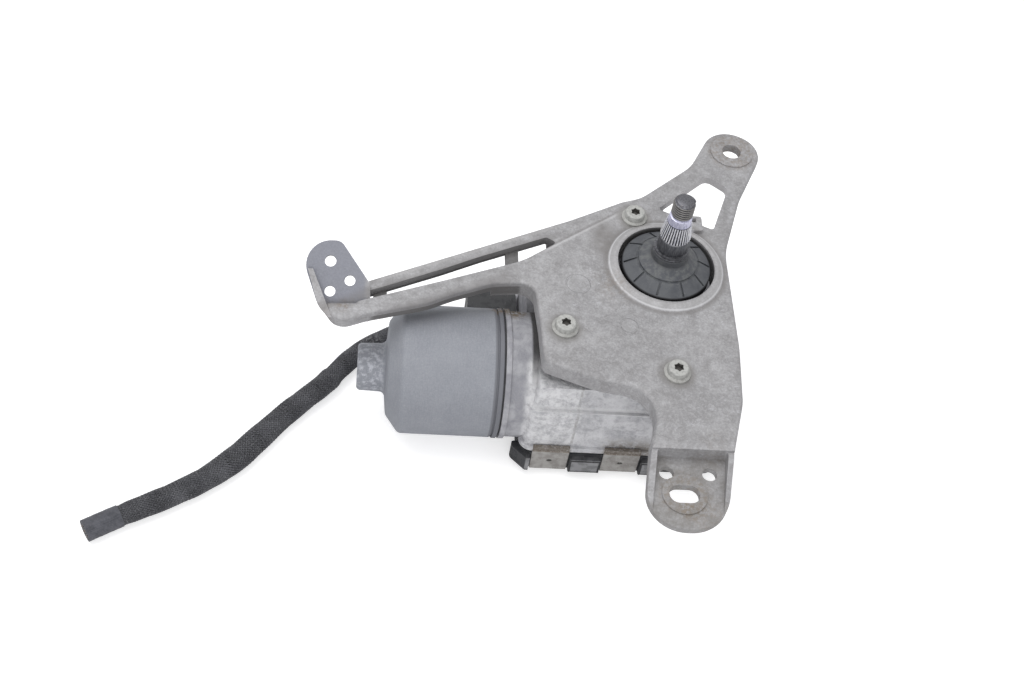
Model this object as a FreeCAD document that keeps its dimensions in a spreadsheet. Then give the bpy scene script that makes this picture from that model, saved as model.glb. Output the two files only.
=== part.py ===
"""Direct-drive windscreen wiper motor on its die-cast bracket, piece by piece, in millimetres.

The output spindle stands upright through the bracket's round opening. A worm on the motor shaft
turns a plastic worm wheel on the spindle. Every piece is drawn about the spindle axis, with the
motor lying along X in front of it, and is then moved so that the origin is at the middle of the
whole part, on the surface it rests on.
"""
import FreeCAD
import Part
import math
import os
from types import SimpleNamespace

import Sketcher
from FreeCAD import Placement, Rotation, Vector

doc = FreeCAD.newDocument("WiperMotor")

# Driving sizes: one line of the sheet each, as name, value, meaning

SIZES = [
    ("spindle_x", 54.5, "spindle axis from the middle of the whole part"),
    ("spindle_y", 21.25, "spindle axis from the middle of the whole part"),
    ("motor_height", 30.0, "motor axis above the surface"),
    ("tooth_module", 1.0, "module of worm and wheel"),
    ("wheel_teeth", 59, "teeth on the worm wheel"),
    ("worm_pitch_radius", 6.0, "pitch radius of the worm"),
    ("tooth_play", 0.5, "play between the flanks of thread and teeth, measured along the pitch line"),
    ("tooth_slope", 20.0, "pressure angle of the flanks"),
    ("worm_length", 30.0, "threaded length of the worm"),
    ("wheel_width", 10.0, "width of the wheel's toothed rim"),
    ("wheel_rim", 4.0, "rim of the wheel under the teeth"),
    ("wheel_web", 4.0, "thickness of the wheel's web"),
    ("wheel_hub_radius", 12.0, "hub of the wheel"),
    ("insert_radius", 9.0, "steel insert moulded into the hub"),
    ("spindle_radius", 7.0, "output spindle in its bushes"),
    ("spindle_foot", 21.0, "lower end of the spindle above the surface"),
    ("spindle_top", 115.0, "upper end of the spindle"),
    ("thread_radius", 5.0, "M10 thread at the spindle's tip"),
    ("thread_length", 8.5, "length of that thread"),
    ("cone_foot", 92.7, "foot of the knurled cone"),
    ("cone_top_radius", 5.7, "top radius of the knurled cone"),
    ("cone_gap", 4.5, "plain neck between cone and thread"),
    ("neck_groove", 0.8, "groove between that neck and the thread"),
    ("neck_step", 0.3, "step from the cone down to the neck"),
    ("bush_wall", 2.0, "wall of the spindle bushes"),
    ("bush_length", 9.5, "length of each spindle bush"),
    ("running_play", 0.05, "radial play of a shaft in its bush"),
    ("seat_play", 0.1, "play between a part and its seat"),
    ("plate_top", 71.0, "top of the bracket plate above the surface"),
    ("plate_thickness", 4.0, "thickness of the bracket plate"),
    ("skirt_depth", 9.0, "depth of the rim round the plate"),
    ("skirt_wall", 3.0, "wall of that rim"),
    ("bar_depth", 6.0, "depth of the two bars to the far foot"),
    ("far_bar_depth", 4.6, "depth of the bar that leads to the far foot's upper side"),
    ("web_height", 2.6, "webs between the bars"),
    ("edge_round", 1.6, "rounding of the bracket's upper edges"),
    ("opening_radius", 22.6, "opening for the spindle cap"),
    ("collar_wall", 3.0, "wall of the collar under the plate"),
    ("collar_rise", 2.0, "rise of the collar above the plate"),
    ("collar_top_radius", 24.4, "outer radius of the collar's top"),
    ("collar_foot_radius", 27.6, "radius where the collar runs into the plate"),
    ("ear_x", 40.6, "ear centre from the spindle"),
    ("ear_y", 78.6, "ear centre from the spindle"),
    ("ear_radius", 13.8, "outer radius of the ear"),
    ("ear_lean", 25.8, "lean of the ear's arm from straight back"),
    ("ear_hole_radius", 4.7, "bolt hole in the ear"),
    ("ear_pad_radius", 10.6, "machined pad round that hole"),
    ("ear_pad_rise", 0.6, "rise of that pad"),
    ("lug_x", 17.0, "slotted lug beside the collar"),
    ("lug_y", 28.6, "slotted lug beside the collar"),
    ("lug_size", 5.4, "side of that lug"),
    ("foot_drop", 8.0, "step from the plate down to the near foot"),
    ("foot_thickness", 3.0, "floor of the near foot"),
    ("foot_rim", 2.6, "side rims of the near foot"),
    ("foot_slot_x", -1.3, "slot in the near foot"),
    ("foot_slot_y", -118.5, "slot in the near foot"),
    ("foot_slot_length", 13.0, "slot end to end"),
    ("foot_slot_width", 8.5, "slot width"),
    ("foot_pad_radius", 9.6, "pad round the slot"),
    ("foot_pad_rise", 0.6, "rise of that pad"),
    ("foot_holes_x", 1.2, "middle of the two small holes"),
    ("foot_holes_y", -108.0, "row of the two small holes"),
    ("foot_holes_gap", 18.4, "distance between the two small holes"),
    ("foot_hole_radius", 3.15, "the two small holes"),
    ("far_tilt", 36.0, "slope of the far foot"),
    ("far_line", -38.0, "line where the far foot's floor starts"),
    ("far_floor_drop", 8.0, "floor there below the plate's top"),
    ("far_thickness", 3.5, "thickness of the far foot"),
    ("far_rim_width", 4.2, "rim along the far foot"),
    ("far_rim_height", 5.4, "height of that rim where it leaves the bars"),
    ("far_reach_up", 20.0, "height that clears the far foot's rim"),
    ("far_rim_end", 0.8, "height of that rim at its far end"),
    ("far_pad_radius", 7.5, "pad under the far foot, round its large hole"),
    ("far_pad_rise", 0.5, "height of that pad"),
    ("far_hole_radius", 2.55, "large hole in the far foot"),
    ("far_pilot_radius", 2.4, "two small holes in the far foot"),
    ("case_left", -62.5, "gear case, side towards the motor"),
    ("case_right", 34.0, "gear case, far side"),
    ("case_front", -67.0, "gear case, front wall"),
    ("case_back", 34.0, "gear case, back wall"),
    ("case_base", 16.0, "parting face of case and cover"),
    ("case_top", 44.0, "roof over the worm wheel"),
    ("block_top", 58.0, "roof over the worm"),
    ("block_right", 31.0, "end of the worm block"),
    ("block_back", -14.0, "back of the worm block"),
    ("case_wall", 3.0, "walls of the gear case"),
    ("case_draft", 2.0, "draft of the case walls in degrees"),
    ("block_draft", 5.0, "draft of the worm block in degrees"),
    ("flange_rim", 1.2, "ledge of the flange that the clips hold"),
    ("flange_thickness", 3.0, "thickness of the flange"),
    ("wheel_room", 1.0, "room round and over the worm wheel"),
    ("tunnel_radius", 9.5, "bore that the worm turns in"),
    ("neck_radius", 29.0, "aluminium neck towards the motor"),
    ("neck_inner_radius", 25.0, "inside of that neck"),
    ("neck_flange_width", 2.6, "flange ring of the neck"),
    ("tube_radius", 12.0, "tube that carries the spindle bushes"),
    ("tube_top", 72.0, "top of that tube"),
    ("rib_width", 3.0, "ribs on the gear case roof"),
    ("rib_height", 8.0, "ribs above the roof"),
    ("boss_radius", 5.6, "bosses under the bracket"),
    ("screw_radius", 2.9, "shank of the bracket screws"),
    ("screw_length", 20.0, "shank of the bracket screws"),
    ("screw_head_radius", 4.9, "head of the bracket screws"),
    ("screw_flange_radius", 6.0, "flange of that head"),
    ("screw_head_height", 4.4, "height of that head"),
    ("screw_play", 0.05, "play round the shank in its thread"),
    ("screw_hole_play", 0.5, "play round the shank in the bracket"),
    ("cover_ledge", 4.0, "height of the cover's clip ledge"),
    ("cover_wall", 2.4, "walls and floor of the cover"),
    ("gasket_height", 1.0, "gasket between case and cover"),
    ("gasket_width", 1.8, "width of that gasket"),
    ("clip_width", 17.0, "width of a cover clip"),
    ("clip_sheet", 0.8, "sheet of a cover clip"),
    ("clip_hook", 2.2, "hooks of a cover clip"),
    ("lug_width", 14.5, "lugs on the cover between the clips"),
    ("last_lug_width", 8.0, "lug after the last clip in front"),
    ("lug_depth", 2.8, "how far a lug stands out"),
    ("clip_start", 5.2, "first clip from the corner of the case"),
    ("outlet_length", 25.0, "cable outlet of the cover"),
    ("outlet_width", 20.0, "width of that outlet"),
    ("outlet_top", 25.0, "top of that outlet above the surface"),
    ("outlet_bottom", 2.0, "underside of that outlet above the surface"),
    ("cable_y", 11.0, "cable behind the spindle's plane"),
    ("cable_height", 8.5, "cable above the surface at the outlet"),
    ("sleeve_radius", 5.1, "woven sleeve of the harness"),
    ("grommet_length", 7.0, "rubber grommet outside the outlet"),
    ("grommet_radius", 6.8, "thick end of the grommet"),
    ("yoke_radius", 29.7, "motor can, outside"),
    ("yoke_wall", 2.2, "sheet of the motor can"),
    ("yoke_open_end", -74.0, "open end of the can"),
    ("yoke_shoulder", -119.0, "where the can starts to close"),
    ("yoke_dome_end", -125.2, "flat of the can's closed end"),
    ("yoke_dome_radius", 21.5, "radius of that flat"),
    ("yoke_boss_end", -138.9, "end of the can's bearing boss"),
    ("yoke_boss_radius", 10.8, "bearing boss"),
    ("yoke_flange_radius", 30.0, "rolled flange of the can"),
    ("yoke_flange_width", 2.2, "width of that flange"),
    ("yoke_groove", 1.0, "groove beside that flange"),
    ("seal_width", 0.8, "seal between can and neck"),
    ("shaft_radius", 4.0, "motor shaft"),
    ("shaft_rear", -135.5, "rear end of the motor shaft"),
    ("shaft_front", 26.0, "front end of the motor shaft"),
    ("core_radius", 21.4, "armature core"),
    ("core_rear", -113.0, "rear end of the core"),
    ("core_front", -83.0, "front end of the core"),
    ("core_slots", 12, "winding slots of the core"),
    ("winding_reach", 6.0, "winding heads beyond the core"),
    ("commutator_radius", 9.0, "commutator"),
    ("commutator_rear", -74.0, "rear end of the commutator"),
    ("commutator_front", -61.0, "front end of the commutator"),
    ("magnet_inner_radius", 22.2, "field magnets, inside"),
    ("magnet_length", 38.0, "length of the field magnets"),
    ("magnet_span", 68.0, "angle that each field magnet covers"),
    ("holder_rear", -66.7, "brush holder"),
    ("holder_front", -64.2, "brush holder"),
    ("brush_size", 5.0, "side of a carbon brush"),
    ("brush_length", 8.0, "length of a carbon brush"),
    ("brush_play", 0.1, "play of a brush in its box and on the commutator"),
    ("bearing_radius", 11.0, "ball bearing, outside"),
    ("bearing_width", 7.0, "ball bearing, width"),
    ("bearing_rear", -57.0, "ball bearing, side towards the motor"),
    ("bearing_race", 2.0, "races of the bearing"),
    ("front_bush_radius", 7.0, "bush at the worm's far end, outside"),
    ("front_bush_rear", 17.0, "bush at the worm's far end"),
    ("front_bush_front", 25.0, "bush at the worm's far end"),
    ("rear_bush_radius", 7.6, "bush in the can's boss, outside"),
    ("cap_radius", 20.8, "spindle cap"),
    ("cap_edge_top", 72.2, "top of the cap at its edge"),
    ("cap_dome_top", 79.6, "top of the cap at its hub"),
    ("cap_sheet", 2.2, "wall of the cap"),
    ("cap_hub_radius", 8.5, "hub of the cap"),
    ("cap_hub_top", 83.0, "top of that hub"),
    ("cap_groove_radius", 13.6, "ring groove on the cap"),
    ("cap_groove_width", 1.0, "grooves on the cap"),
    ("cap_groove_depth", 0.8, "grooves on the cap"),
    ("cap_grooves", 10, "radial grooves on the cap"),
    ("washer_height", 1.0, "washer over the cap's hub"),
    ("ring_height", 1.2, "retaining ring over that washer"),
    ("ring_groove_depth", 0.6, "groove of the retaining ring"),
    ("board_thickness", 1.6, "circuit board"),
    ("board_height", 7.5, "underside of the board above the surface"),
]

# Outline corners of the bracket seen from above: name, x, y and rounding

PLATE_CORNERS = [
    ("leg_end_right", 20.6, -100.5, 0.0),
    ("leg_waist_right", 27.4, -75.0, 30.0),
    ("right_edge", 29.6, -45.0, 80.0),
    ("right_edge_back", 29.8, 11.5, 40.0),
    ("arm_right", 41.2, 47.4, 60.0),
    ("ear_corner_right", None, None, None),
    ("ear_corner_left", None, None, None),
    ("arm_left", 19.0, 67.5, 25.0),
    ("back_notch", -8.0, 43.6, 20.0),
    ("back_edge", -17.5, 40.2, 15.0),
    ("upper_bar", -43.1, 26.2, 90.0),
    ("far_upper", -136.0, -18.2, 2.0),
    ("far_inner", -141.0, -31.3, 0.0),
    ("far_outer", -155.6, -32.0, 2.0),
    ("far_lower", -148.6, -42.8, 7.0),
    ("lower_bar_far", -136.0, -37.2, 40.0),
    ("lower_bar_bend", -110.0, -29.2, 40.0),
    ("lower_bar_waist", -98.0, -23.0, 30.0),
    ("lower_bar_near", -80.5, -15.6, 25.0),
    ("arch_corner", -61.6, -13.6, 7.5),
    ("left_edge", -59.6, -36.0, 60.0),
    ("front_corner", -58.6, -57.8, 4.0),
    ("front_edge", -34.0, -67.2, 50.0),
    ("leg_corner", -12.4, -69.8, 15.0),
    ("leg_waist_left", -11.6, -86.0, 20.0),
    ("leg_end_left", -15.0, -100.5, 0.0),
]
HOLLOW_CORNERS = [
    ("hollow_leg_right", 18.6, -97.4, 3.0),
    ("hollow_waist_right", 24.8, -73.0, 20.0),
    ("hollow_right", 26.8, -45.0, 40.0),
    ("hollow_back_right", 26.8, 20.0, 3.0),
    ("hollow_window", 0.0, 32.6, 6.0),
    ("hollow_screw", -8.5, 39.6, 4.0),
    ("hollow_back", -17.5, 37.0, 8.0),
    ("hollow_bars", -43.6, 20.0, 4.0),
    ("hollow_arch", -56.4, -8.6, 4.0),
    ("hollow_left", -56.4, -36.0, 40.0),
    ("hollow_front", -55.4, -55.6, 3.0),
    ("hollow_front_edge", -33.0, -64.2, 30.0),
    ("hollow_corner", -8.8, -66.6, 14.0),
    ("hollow_waist", -8.4, -86.0, 15.0),
    ("hollow_leg_left", -10.6, -97.4, 3.0),
]
GAP_CORNERS = [
    ("gap_far_low", -142.0, -31.6, 0.0),
    ("gap_low", -103.0, -16.4, 60.0),
    ("gap_low_near", -66.6, -1.7, 40.0),
    ("gap_near", -50.0, 10.8, 1.5),
    ("gap_near_high", -55.0, 13.8, 1.5),
    ("gap_high_near", -86.0, -0.6, 60.0),
    ("gap_high", -104.0, -9.8, 60.0),
    ("gap_far_high", -141.0, -27.2, 0.0),
]
WINDOW_CORNERS = [
    ("window_right", 25.4, 25.0, 1.5),
    ("window_ear_right", 35.8, 53.2, 3.5),
    ("window_ear_left", 26.3, 61.0, 4.0),
    ("window_left", -0.5, 36.4, 1.5),
]
FOOT_CORNERS = [
    ("foot_right", 21.4, -94.5, 0.0),
    ("foot_tip_right", 15.2, -135.4, 17.5),
    ("foot_tip_left", -19.9, -134.6, 16.0),
    ("foot_left", -13.9, -94.5, 0.0),
]
# The far foot is drawn on its slope: x across, then the distance up the slope
FAR_CORNERS = [
    ("far_foot_right", -134.4, 2.0, 1.0),
    ("far_foot_bend", -135.0, 18.4, 3.0),
    ("far_foot_tip_right", -148.6, 36.8, 4.5),
    ("far_foot_tip_left", -168.3, 36.7, 11.0),
    ("far_foot_left", -157.4, 7.6, 12.0),
    ("far_foot_near", -152.4, 2.6, 1.0),
]
FAR_HOLES = [
    ("far_hole", -152.9, 27.7),
    ("far_pilot_left", -152.5, 14.4),
    ("far_pilot_right", -144.0, 19.5),
]
SCREWS = [
    ("screw_back", -12.5, 29.6),
    ("screw_left", -48.8, -39.6),
    ("screw_front", -0.6, -61.4),
]
# The gear case seen from above: which sides meet at each corner, and the rounding
CASE_ROUNDS = [
    ("case_front_left_round", 5.0),
    ("case_front_right_round", 9.0),
    ("case_back_right_round", 26.0),
    ("case_back_left_round", 26.0),
    ("case_outlet_round", 4.0),
]
# Route of the harness: chosen by hand, from the grommet to its bare end
HARNESS_ROUTE = [
    (-85.5, 11.0, 8.5),
    (-97.0, 11.0, 8.5),
    (-108.6, 9.0, 7.2),
    (-119.2, 5.0, 6.0),
    (-128.5, -0.2, 5.3),
    (-136.2, -6.2, 5.2),
    (-142.4, -12.6, 5.15),
    (-148.0, -20.4, 5.15),
    (-155.4, -30.4, 5.15),
    (-166.2, -41.4, 5.15),
    (-179.2, -57.2, 5.15),
    (-190.6, -72.4, 5.15),
    (-204.6, -85.4, 5.15),
    (-222.4, -96.4, 5.15),
    (-238.4, -104.8, 5.15),
    (-251.4, -112.9, 5.15),
]


class Size:
    """A number together with the sheet expression that gives it."""

    def __init__(self, value, text):
        self.value = float(value)
        self.text = text

    def __add__(self, other):
        other = as_size(other)
        return Size(self.value + other.value, "(%s + %s)" % (self.text, other.text))

    def __sub__(self, other):
        other = as_size(other)
        return Size(self.value - other.value, "(%s - %s)" % (self.text, other.text))

    def __mul__(self, other):
        other = as_size(other)
        return Size(self.value * other.value, "(%s * %s)" % (self.text, other.text))

    def __truediv__(self, other):
        other = as_size(other)
        return Size(self.value / other.value, "(%s / %s)" % (self.text, other.text))

    def __neg__(self):
        return Size(-self.value, "(0 - %s)" % self.text)

    def __radd__(self, other):
        return as_size(other) + self

    def __rsub__(self, other):
        return as_size(other) - self

    def __rmul__(self, other):
        return as_size(other) * self


def as_size(number):
    """A plain number as a Size."""
    if isinstance(number, Size):
        return number
    return Size(number, repr(float(number)))


def sine(angle):
    return Size(math.sin(math.radians(angle.value)), "sin(%s)" % angle.text)


def cosine(angle):
    return Size(math.cos(math.radians(angle.value)), "cos(%s)" % angle.text)


def tangent(angle):
    return sine(angle) / cosine(angle)


def make_sheet():
    """Write every driving size into the sheet and return them by name."""
    sheet = doc.addObject("Spreadsheet::Sheet", "Sizes")
    rows = list(SIZES)
    for name, x, y, rounding in (PLATE_CORNERS + HOLLOW_CORNERS + GAP_CORNERS + WINDOW_CORNERS
                                 + FOOT_CORNERS + FAR_CORNERS):
        if x is not None:
            rows.append((name + "_x", x, "outline corner"))
            rows.append((name + "_y", y, "outline corner"))
            rows.append((name + "_round", rounding, "rounding of that corner"))
    for name, x, y in FAR_HOLES + SCREWS:
        rows.append((name + "_x", x, "hole centre"))
        rows.append((name + "_y", y, "hole centre"))
    for name, rounding in CASE_ROUNDS:
        rows.append((name, rounding, "rounded corner of the gear case"))
    named = SimpleNamespace()
    for row, (name, value, meaning) in enumerate(rows, start=1):
        sheet.set("A%d" % row, name)
        sheet.set("B%d" % row, str(value))
        sheet.setAlias("B%d" % row, name)
        sheet.set("C%d" % row, meaning)
        setattr(named, name, Size(value, "Sizes." + name))
    doc.recompute()
    return named


d = make_sheet()

# Sizes that follow from the driving ones

wheel_pitch_radius = d.tooth_module * d.wheel_teeth / 2
axis_gap = wheel_pitch_radius + d.worm_pitch_radius
worm_lead = d.tooth_module * math.pi
addendum = d.tooth_module
dedendum = d.tooth_module * 1.25
wheel_radius = wheel_pitch_radius + addendum
wheel_bottom = d.motor_height - d.wheel_width / 2
wheel_top = d.motor_height + d.wheel_width / 2
ceiling = wheel_top + d.wheel_room * 2
plate_under = d.plate_top - d.plate_thickness
skirt_bottom = d.plate_top - d.skirt_depth
foot_floor = d.plate_top - d.foot_drop
far_floor = d.plate_top - d.far_floor_drop
bush_outer_radius = d.spindle_radius + d.bush_wall
bush_inner_radius = d.spindle_radius + d.running_play
cover_top = d.case_base - d.gasket_height
block_left = d.case_left
ear_half_x = d.ear_radius * cosine(d.ear_lean)
ear_half_y = d.ear_radius * sine(d.ear_lean)
ear_corner_right_x = d.ear_x + ear_half_x + ear_half_y
ear_corner_right_y = d.ear_y + ear_half_x - ear_half_y
ear_corner_left_x = d.ear_x - ear_half_x + ear_half_y
ear_corner_left_y = d.ear_y + ear_half_x + ear_half_y



def new_body(name, x=0, y=0, z=0):
    """A body with its own label, standing at x, y, z from the foot of the spindle axis."""
    body = doc.addObject("PartDesign::Body", name)
    body.Label = name
    body.setExpression("Placement.Base.x", (as_size(x) + d.spindle_x).text)
    body.setExpression("Placement.Base.y", (as_size(y) + d.spindle_y).text)
    body.setExpression("Placement.Base.z", as_size(z).text)
    return body


def motor_body(name):
    """A body whose own X axis is the motor axis."""
    return new_body(name, y=-axis_gap, z=d.motor_height)


def sketch_on(body, name, role="XY_Plane", out=0, across=0, along=0, turn=None, turn_axis=(0, 0, 1)):
    """A sketch on one of the body's own planes, moved out of it and turned about an axis of it."""
    sketch = body.newObject("Sketcher::SketchObject", name)
    plane = [item for item in body.Origin.OriginFeatures if item.Role == role][0]
    sketch.AttachmentSupport = [(plane, "")]
    sketch.MapMode = "FlatFace"
    if turn is not None:
        sketch.AttachmentOffset = Placement(Vector(), Rotation(Vector(*turn_axis), turn.value))
        sketch.setExpression("AttachmentOffset.Rotation.Angle", turn.text)
    for path, size in (("x", across), ("y", along), ("z", out)):
        sketch.setExpression("AttachmentOffset.Base." + path, as_size(size).text)
    return sketch


def fix_point(rules, texts, geometry, position, x, y):
    """Hold a point of a sketch at x, y from its origin."""
    for kind, size, axis in (("DistanceX", as_size(x), -2), ("DistanceY", as_size(y), -1)):
        if size.value == 0.0:
            rules.append(Sketcher.Constraint("PointOnObject", geometry, position, axis))
        else:
            rules.append(Sketcher.Constraint(kind, -1, 1, geometry, position, size.value))
            texts[len(rules) - 1] = size.text


def apply_rules(sketch, rules, texts):
    """Add the constraints and tie the measured ones to the sheet."""
    first = sketch.ConstraintCount
    sketch.addConstraint(rules)
    for number, text in texts.items():
        sketch.setExpression("Constraints[%d]" % (first + number), text)


def circle(sketch, x, y, radius):
    """A circle of the sketch."""
    centre = Vector(as_size(x).value, as_size(y).value, 0)
    radius = as_size(radius)
    number = sketch.addGeometry(Part.Circle(centre, Vector(0, 0, 1), radius.value))
    rules = []
    texts = {}
    fix_point(rules, texts, number, 3, x, y)
    rules.append(Sketcher.Constraint("Radius", number, radius.value))
    texts[len(rules) - 1] = radius.text
    apply_rules(sketch, rules, texts)


def corner_arc(before, corner, after, rounding):
    """Centre, tangent points and turning sense of the arc that rounds one corner."""
    to_before = (before - corner).normalize()
    to_after = (after - corner).normalize()
    half = to_before.getAngle(to_after) / 2
    reach = rounding / math.tan(half)
    middle = (to_before + to_after).normalize()
    centre = corner + middle * (rounding / math.sin(half))
    turns_left = (corner - before).cross(after - corner).z > 0
    return centre, corner + to_before * reach, corner + to_after * reach, turns_left


def outline(sketch, corners):
    """A closed outline of straight sides; a corner with a third value is rounded to it."""
    corners = [tuple(as_size(value) for value in corner) for corner in corners]
    points = [Vector(corner[0].value, corner[1].value, 0) for corner in corners]
    count = len(corners)
    starts = list(points)
    ends = list(points)
    arcs = {}
    for i, corner in enumerate(corners):
        if len(corner) == 3 and corner[2].value > 0:
            centre, arrive, leave, left = corner_arc(points[i - 1], points[i],
                                                     points[(i + 1) % count], corner[2].value)
            ends[i] = arrive
            starts[i] = leave
            arcs[i] = (centre, arrive, leave, left)
    first = sketch.GeometryCount
    shapes = []
    for i in range(count):
        shapes.append(Part.LineSegment(starts[i], ends[(i + 1) % count]))
    arc_number = {}
    for i, (centre, arrive, leave, left) in arcs.items():
        begin, finish = (arrive, leave) if left else (leave, arrive)
        angles = [math.atan2(spot.y - centre.y, spot.x - centre.x) for spot in (begin, finish)]
        if angles[1] < angles[0]:
            angles[1] += 2 * math.pi
        rim = Part.Circle(centre, Vector(0, 0, 1), corners[i][2].value)
        arc_number[i] = first + len(shapes)
        shapes.append(Part.ArcOfCircle(rim, angles[0], angles[1]))
    sketch.addGeometry(shapes, False)
    rules = []
    texts = {}
    for i in range(count):
        before = first + (i - 1) % count
        after = first + i
        if i not in arcs:
            rules.append(Sketcher.Constraint("Coincident", before, 2, after, 1))
            fix_point(rules, texts, after, 1, corners[i][0], corners[i][1])
            continue
        begin, finish = (1, 2) if arcs[i][3] else (2, 1)
        rules.append(Sketcher.Constraint("Tangent", before, 2, arc_number[i], begin))
        rules.append(Sketcher.Constraint("Tangent", after, 1, arc_number[i], finish))
        rules.append(Sketcher.Constraint("Radius", arc_number[i], corners[i][2].value))
        texts[len(rules) - 1] = corners[i][2].text
        mark = sketch.addGeometry(Part.Point(points[i]), True)
        rules.append(Sketcher.Constraint("PointOnObject", mark, 1, before))
        rules.append(Sketcher.Constraint("PointOnObject", mark, 1, after))
        fix_point(rules, texts, mark, 1, corners[i][0], corners[i][1])
    apply_rules(sketch, rules, texts)


def named_corners(table):
    """The corners of a table above, as sizes of the sheet."""
    corners = []
    for name, x, y, rounding in table:
        if x is not None:
            corners.append(tuple(getattr(d, name + end) for end in ("_x", "_y", "_round")))
        elif name == "ear_corner_right":
            corners.append((ear_corner_right_x, ear_corner_right_y, d.ear_radius * 0.97))
        else:
            corners.append((ear_corner_left_x, ear_corner_left_y, d.ear_radius * 0.97))
    return corners


def box_corners(left, right, low, high, rounding=0):
    """Corners of a rectangle, all rounded alike."""
    return [(left, low, rounding), (right, low, rounding), (right, high, rounding), (left, high, rounding)]


def case_corners(grow=0):
    """The gear case seen from above, grown outwards all round."""
    grow = as_size(grow)
    left = d.case_left - grow
    right = d.case_right + grow
    front = d.case_front - grow
    back = d.case_back + grow
    outlet_back = d.cable_y + d.outlet_width / 2 + grow
    return [
        (left, front, d.case_front_left_round + grow),
        (right, front, d.case_front_right_round + grow),
        (right, back, d.case_back_right_round + grow),
        (-right, back, d.case_back_left_round + grow),
        (left, outlet_back, d.case_outlet_round + grow),
    ]


def pad(body, sketch, length, up=True, both=False, draft=None):
    """Push a sketch out into solid."""
    feature = body.newObject("PartDesign::Pad", sketch.Name + "Pad")
    feature.Profile = sketch
    feature.Reversed = not up
    if both:
        feature.Midplane = True
    feature.setExpression("Length", as_size(length).text)
    if draft is not None:
        feature.setExpression("TaperAngle", (-draft).text)
    return feature


def pocket(body, sketch, length=None, up=False, both=False):
    """Cut a sketch out of the solid, down into it unless told to go up."""
    feature = body.newObject("PartDesign::Pocket", sketch.Name + "Pocket")
    feature.Profile = sketch
    feature.Reversed = up
    if both:
        feature.Midplane = True
    if length is None:
        feature.Type = "ThroughAll"
    else:
        feature.setExpression("Length", as_size(length).text)
    return feature


def spin(body, sketch, axis="H_Axis", cut=False):
    """Turn a profile all the way round one of its sketch's axes."""
    feature = body.newObject("PartDesign::Groove" if cut else "PartDesign::Revolution", sketch.Name + "Turn")
    feature.Profile = sketch
    feature.ReferenceAxis = (sketch, [axis])
    feature.Angle = 360
    return feature


def polar(body, feature, count, role="Z_Axis"):
    """Repeat a feature evenly round one of the body's axes."""
    pattern = body.newObject("PartDesign::PolarPattern", feature.Name + "Round")
    pattern.Originals = [feature]
    axis = [item for item in body.Origin.OriginFeatures if item.Role == role][0]
    pattern.Axis = (axis, [""])
    pattern.Angle = 360
    pattern.setExpression("Occurrences", as_size(count).text)
    body.Tip = pattern
    return pattern


def turned(name, profile, vertical=False, body=None):
    """A piece turned on a lathe: its profile is half the section, along the axis and out from it."""
    body = body or (new_body(name) if vertical else motor_body(name))
    sketch = sketch_on(body, name + "Profile", "XZ_Plane" if vertical else "XY_Plane")
    if vertical:
        outline(sketch, [(corner[1], corner[0]) + tuple(corner[2:]) for corner in profile])
        spin(body, sketch, "V_Axis")
    else:
        outline(sketch, profile)
        spin(body, sketch, "H_Axis")
    return body


def ring_profile(start, end, inner, outer, rounding=0):
    """Section of a plain ring."""
    return [(start, inner, 0), (end, inner, 0), (end, outer, rounding), (start, outer, rounding)]


def round_edges(body, feature, radius, chosen):
    """Fillet the edges of the feature that the test picks out."""
    doc.recompute()
    names = ["Edge%d" % (i + 1) for i, edge in enumerate(feature.Shape.Edges) if chosen(edge)]
    fillet = body.newObject("PartDesign::Fillet", feature.Name + "Round")
    fillet.Base = (feature, names)
    fillet.setExpression("Radius", as_size(radius).text)
    return fillet


# Bracket

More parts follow.
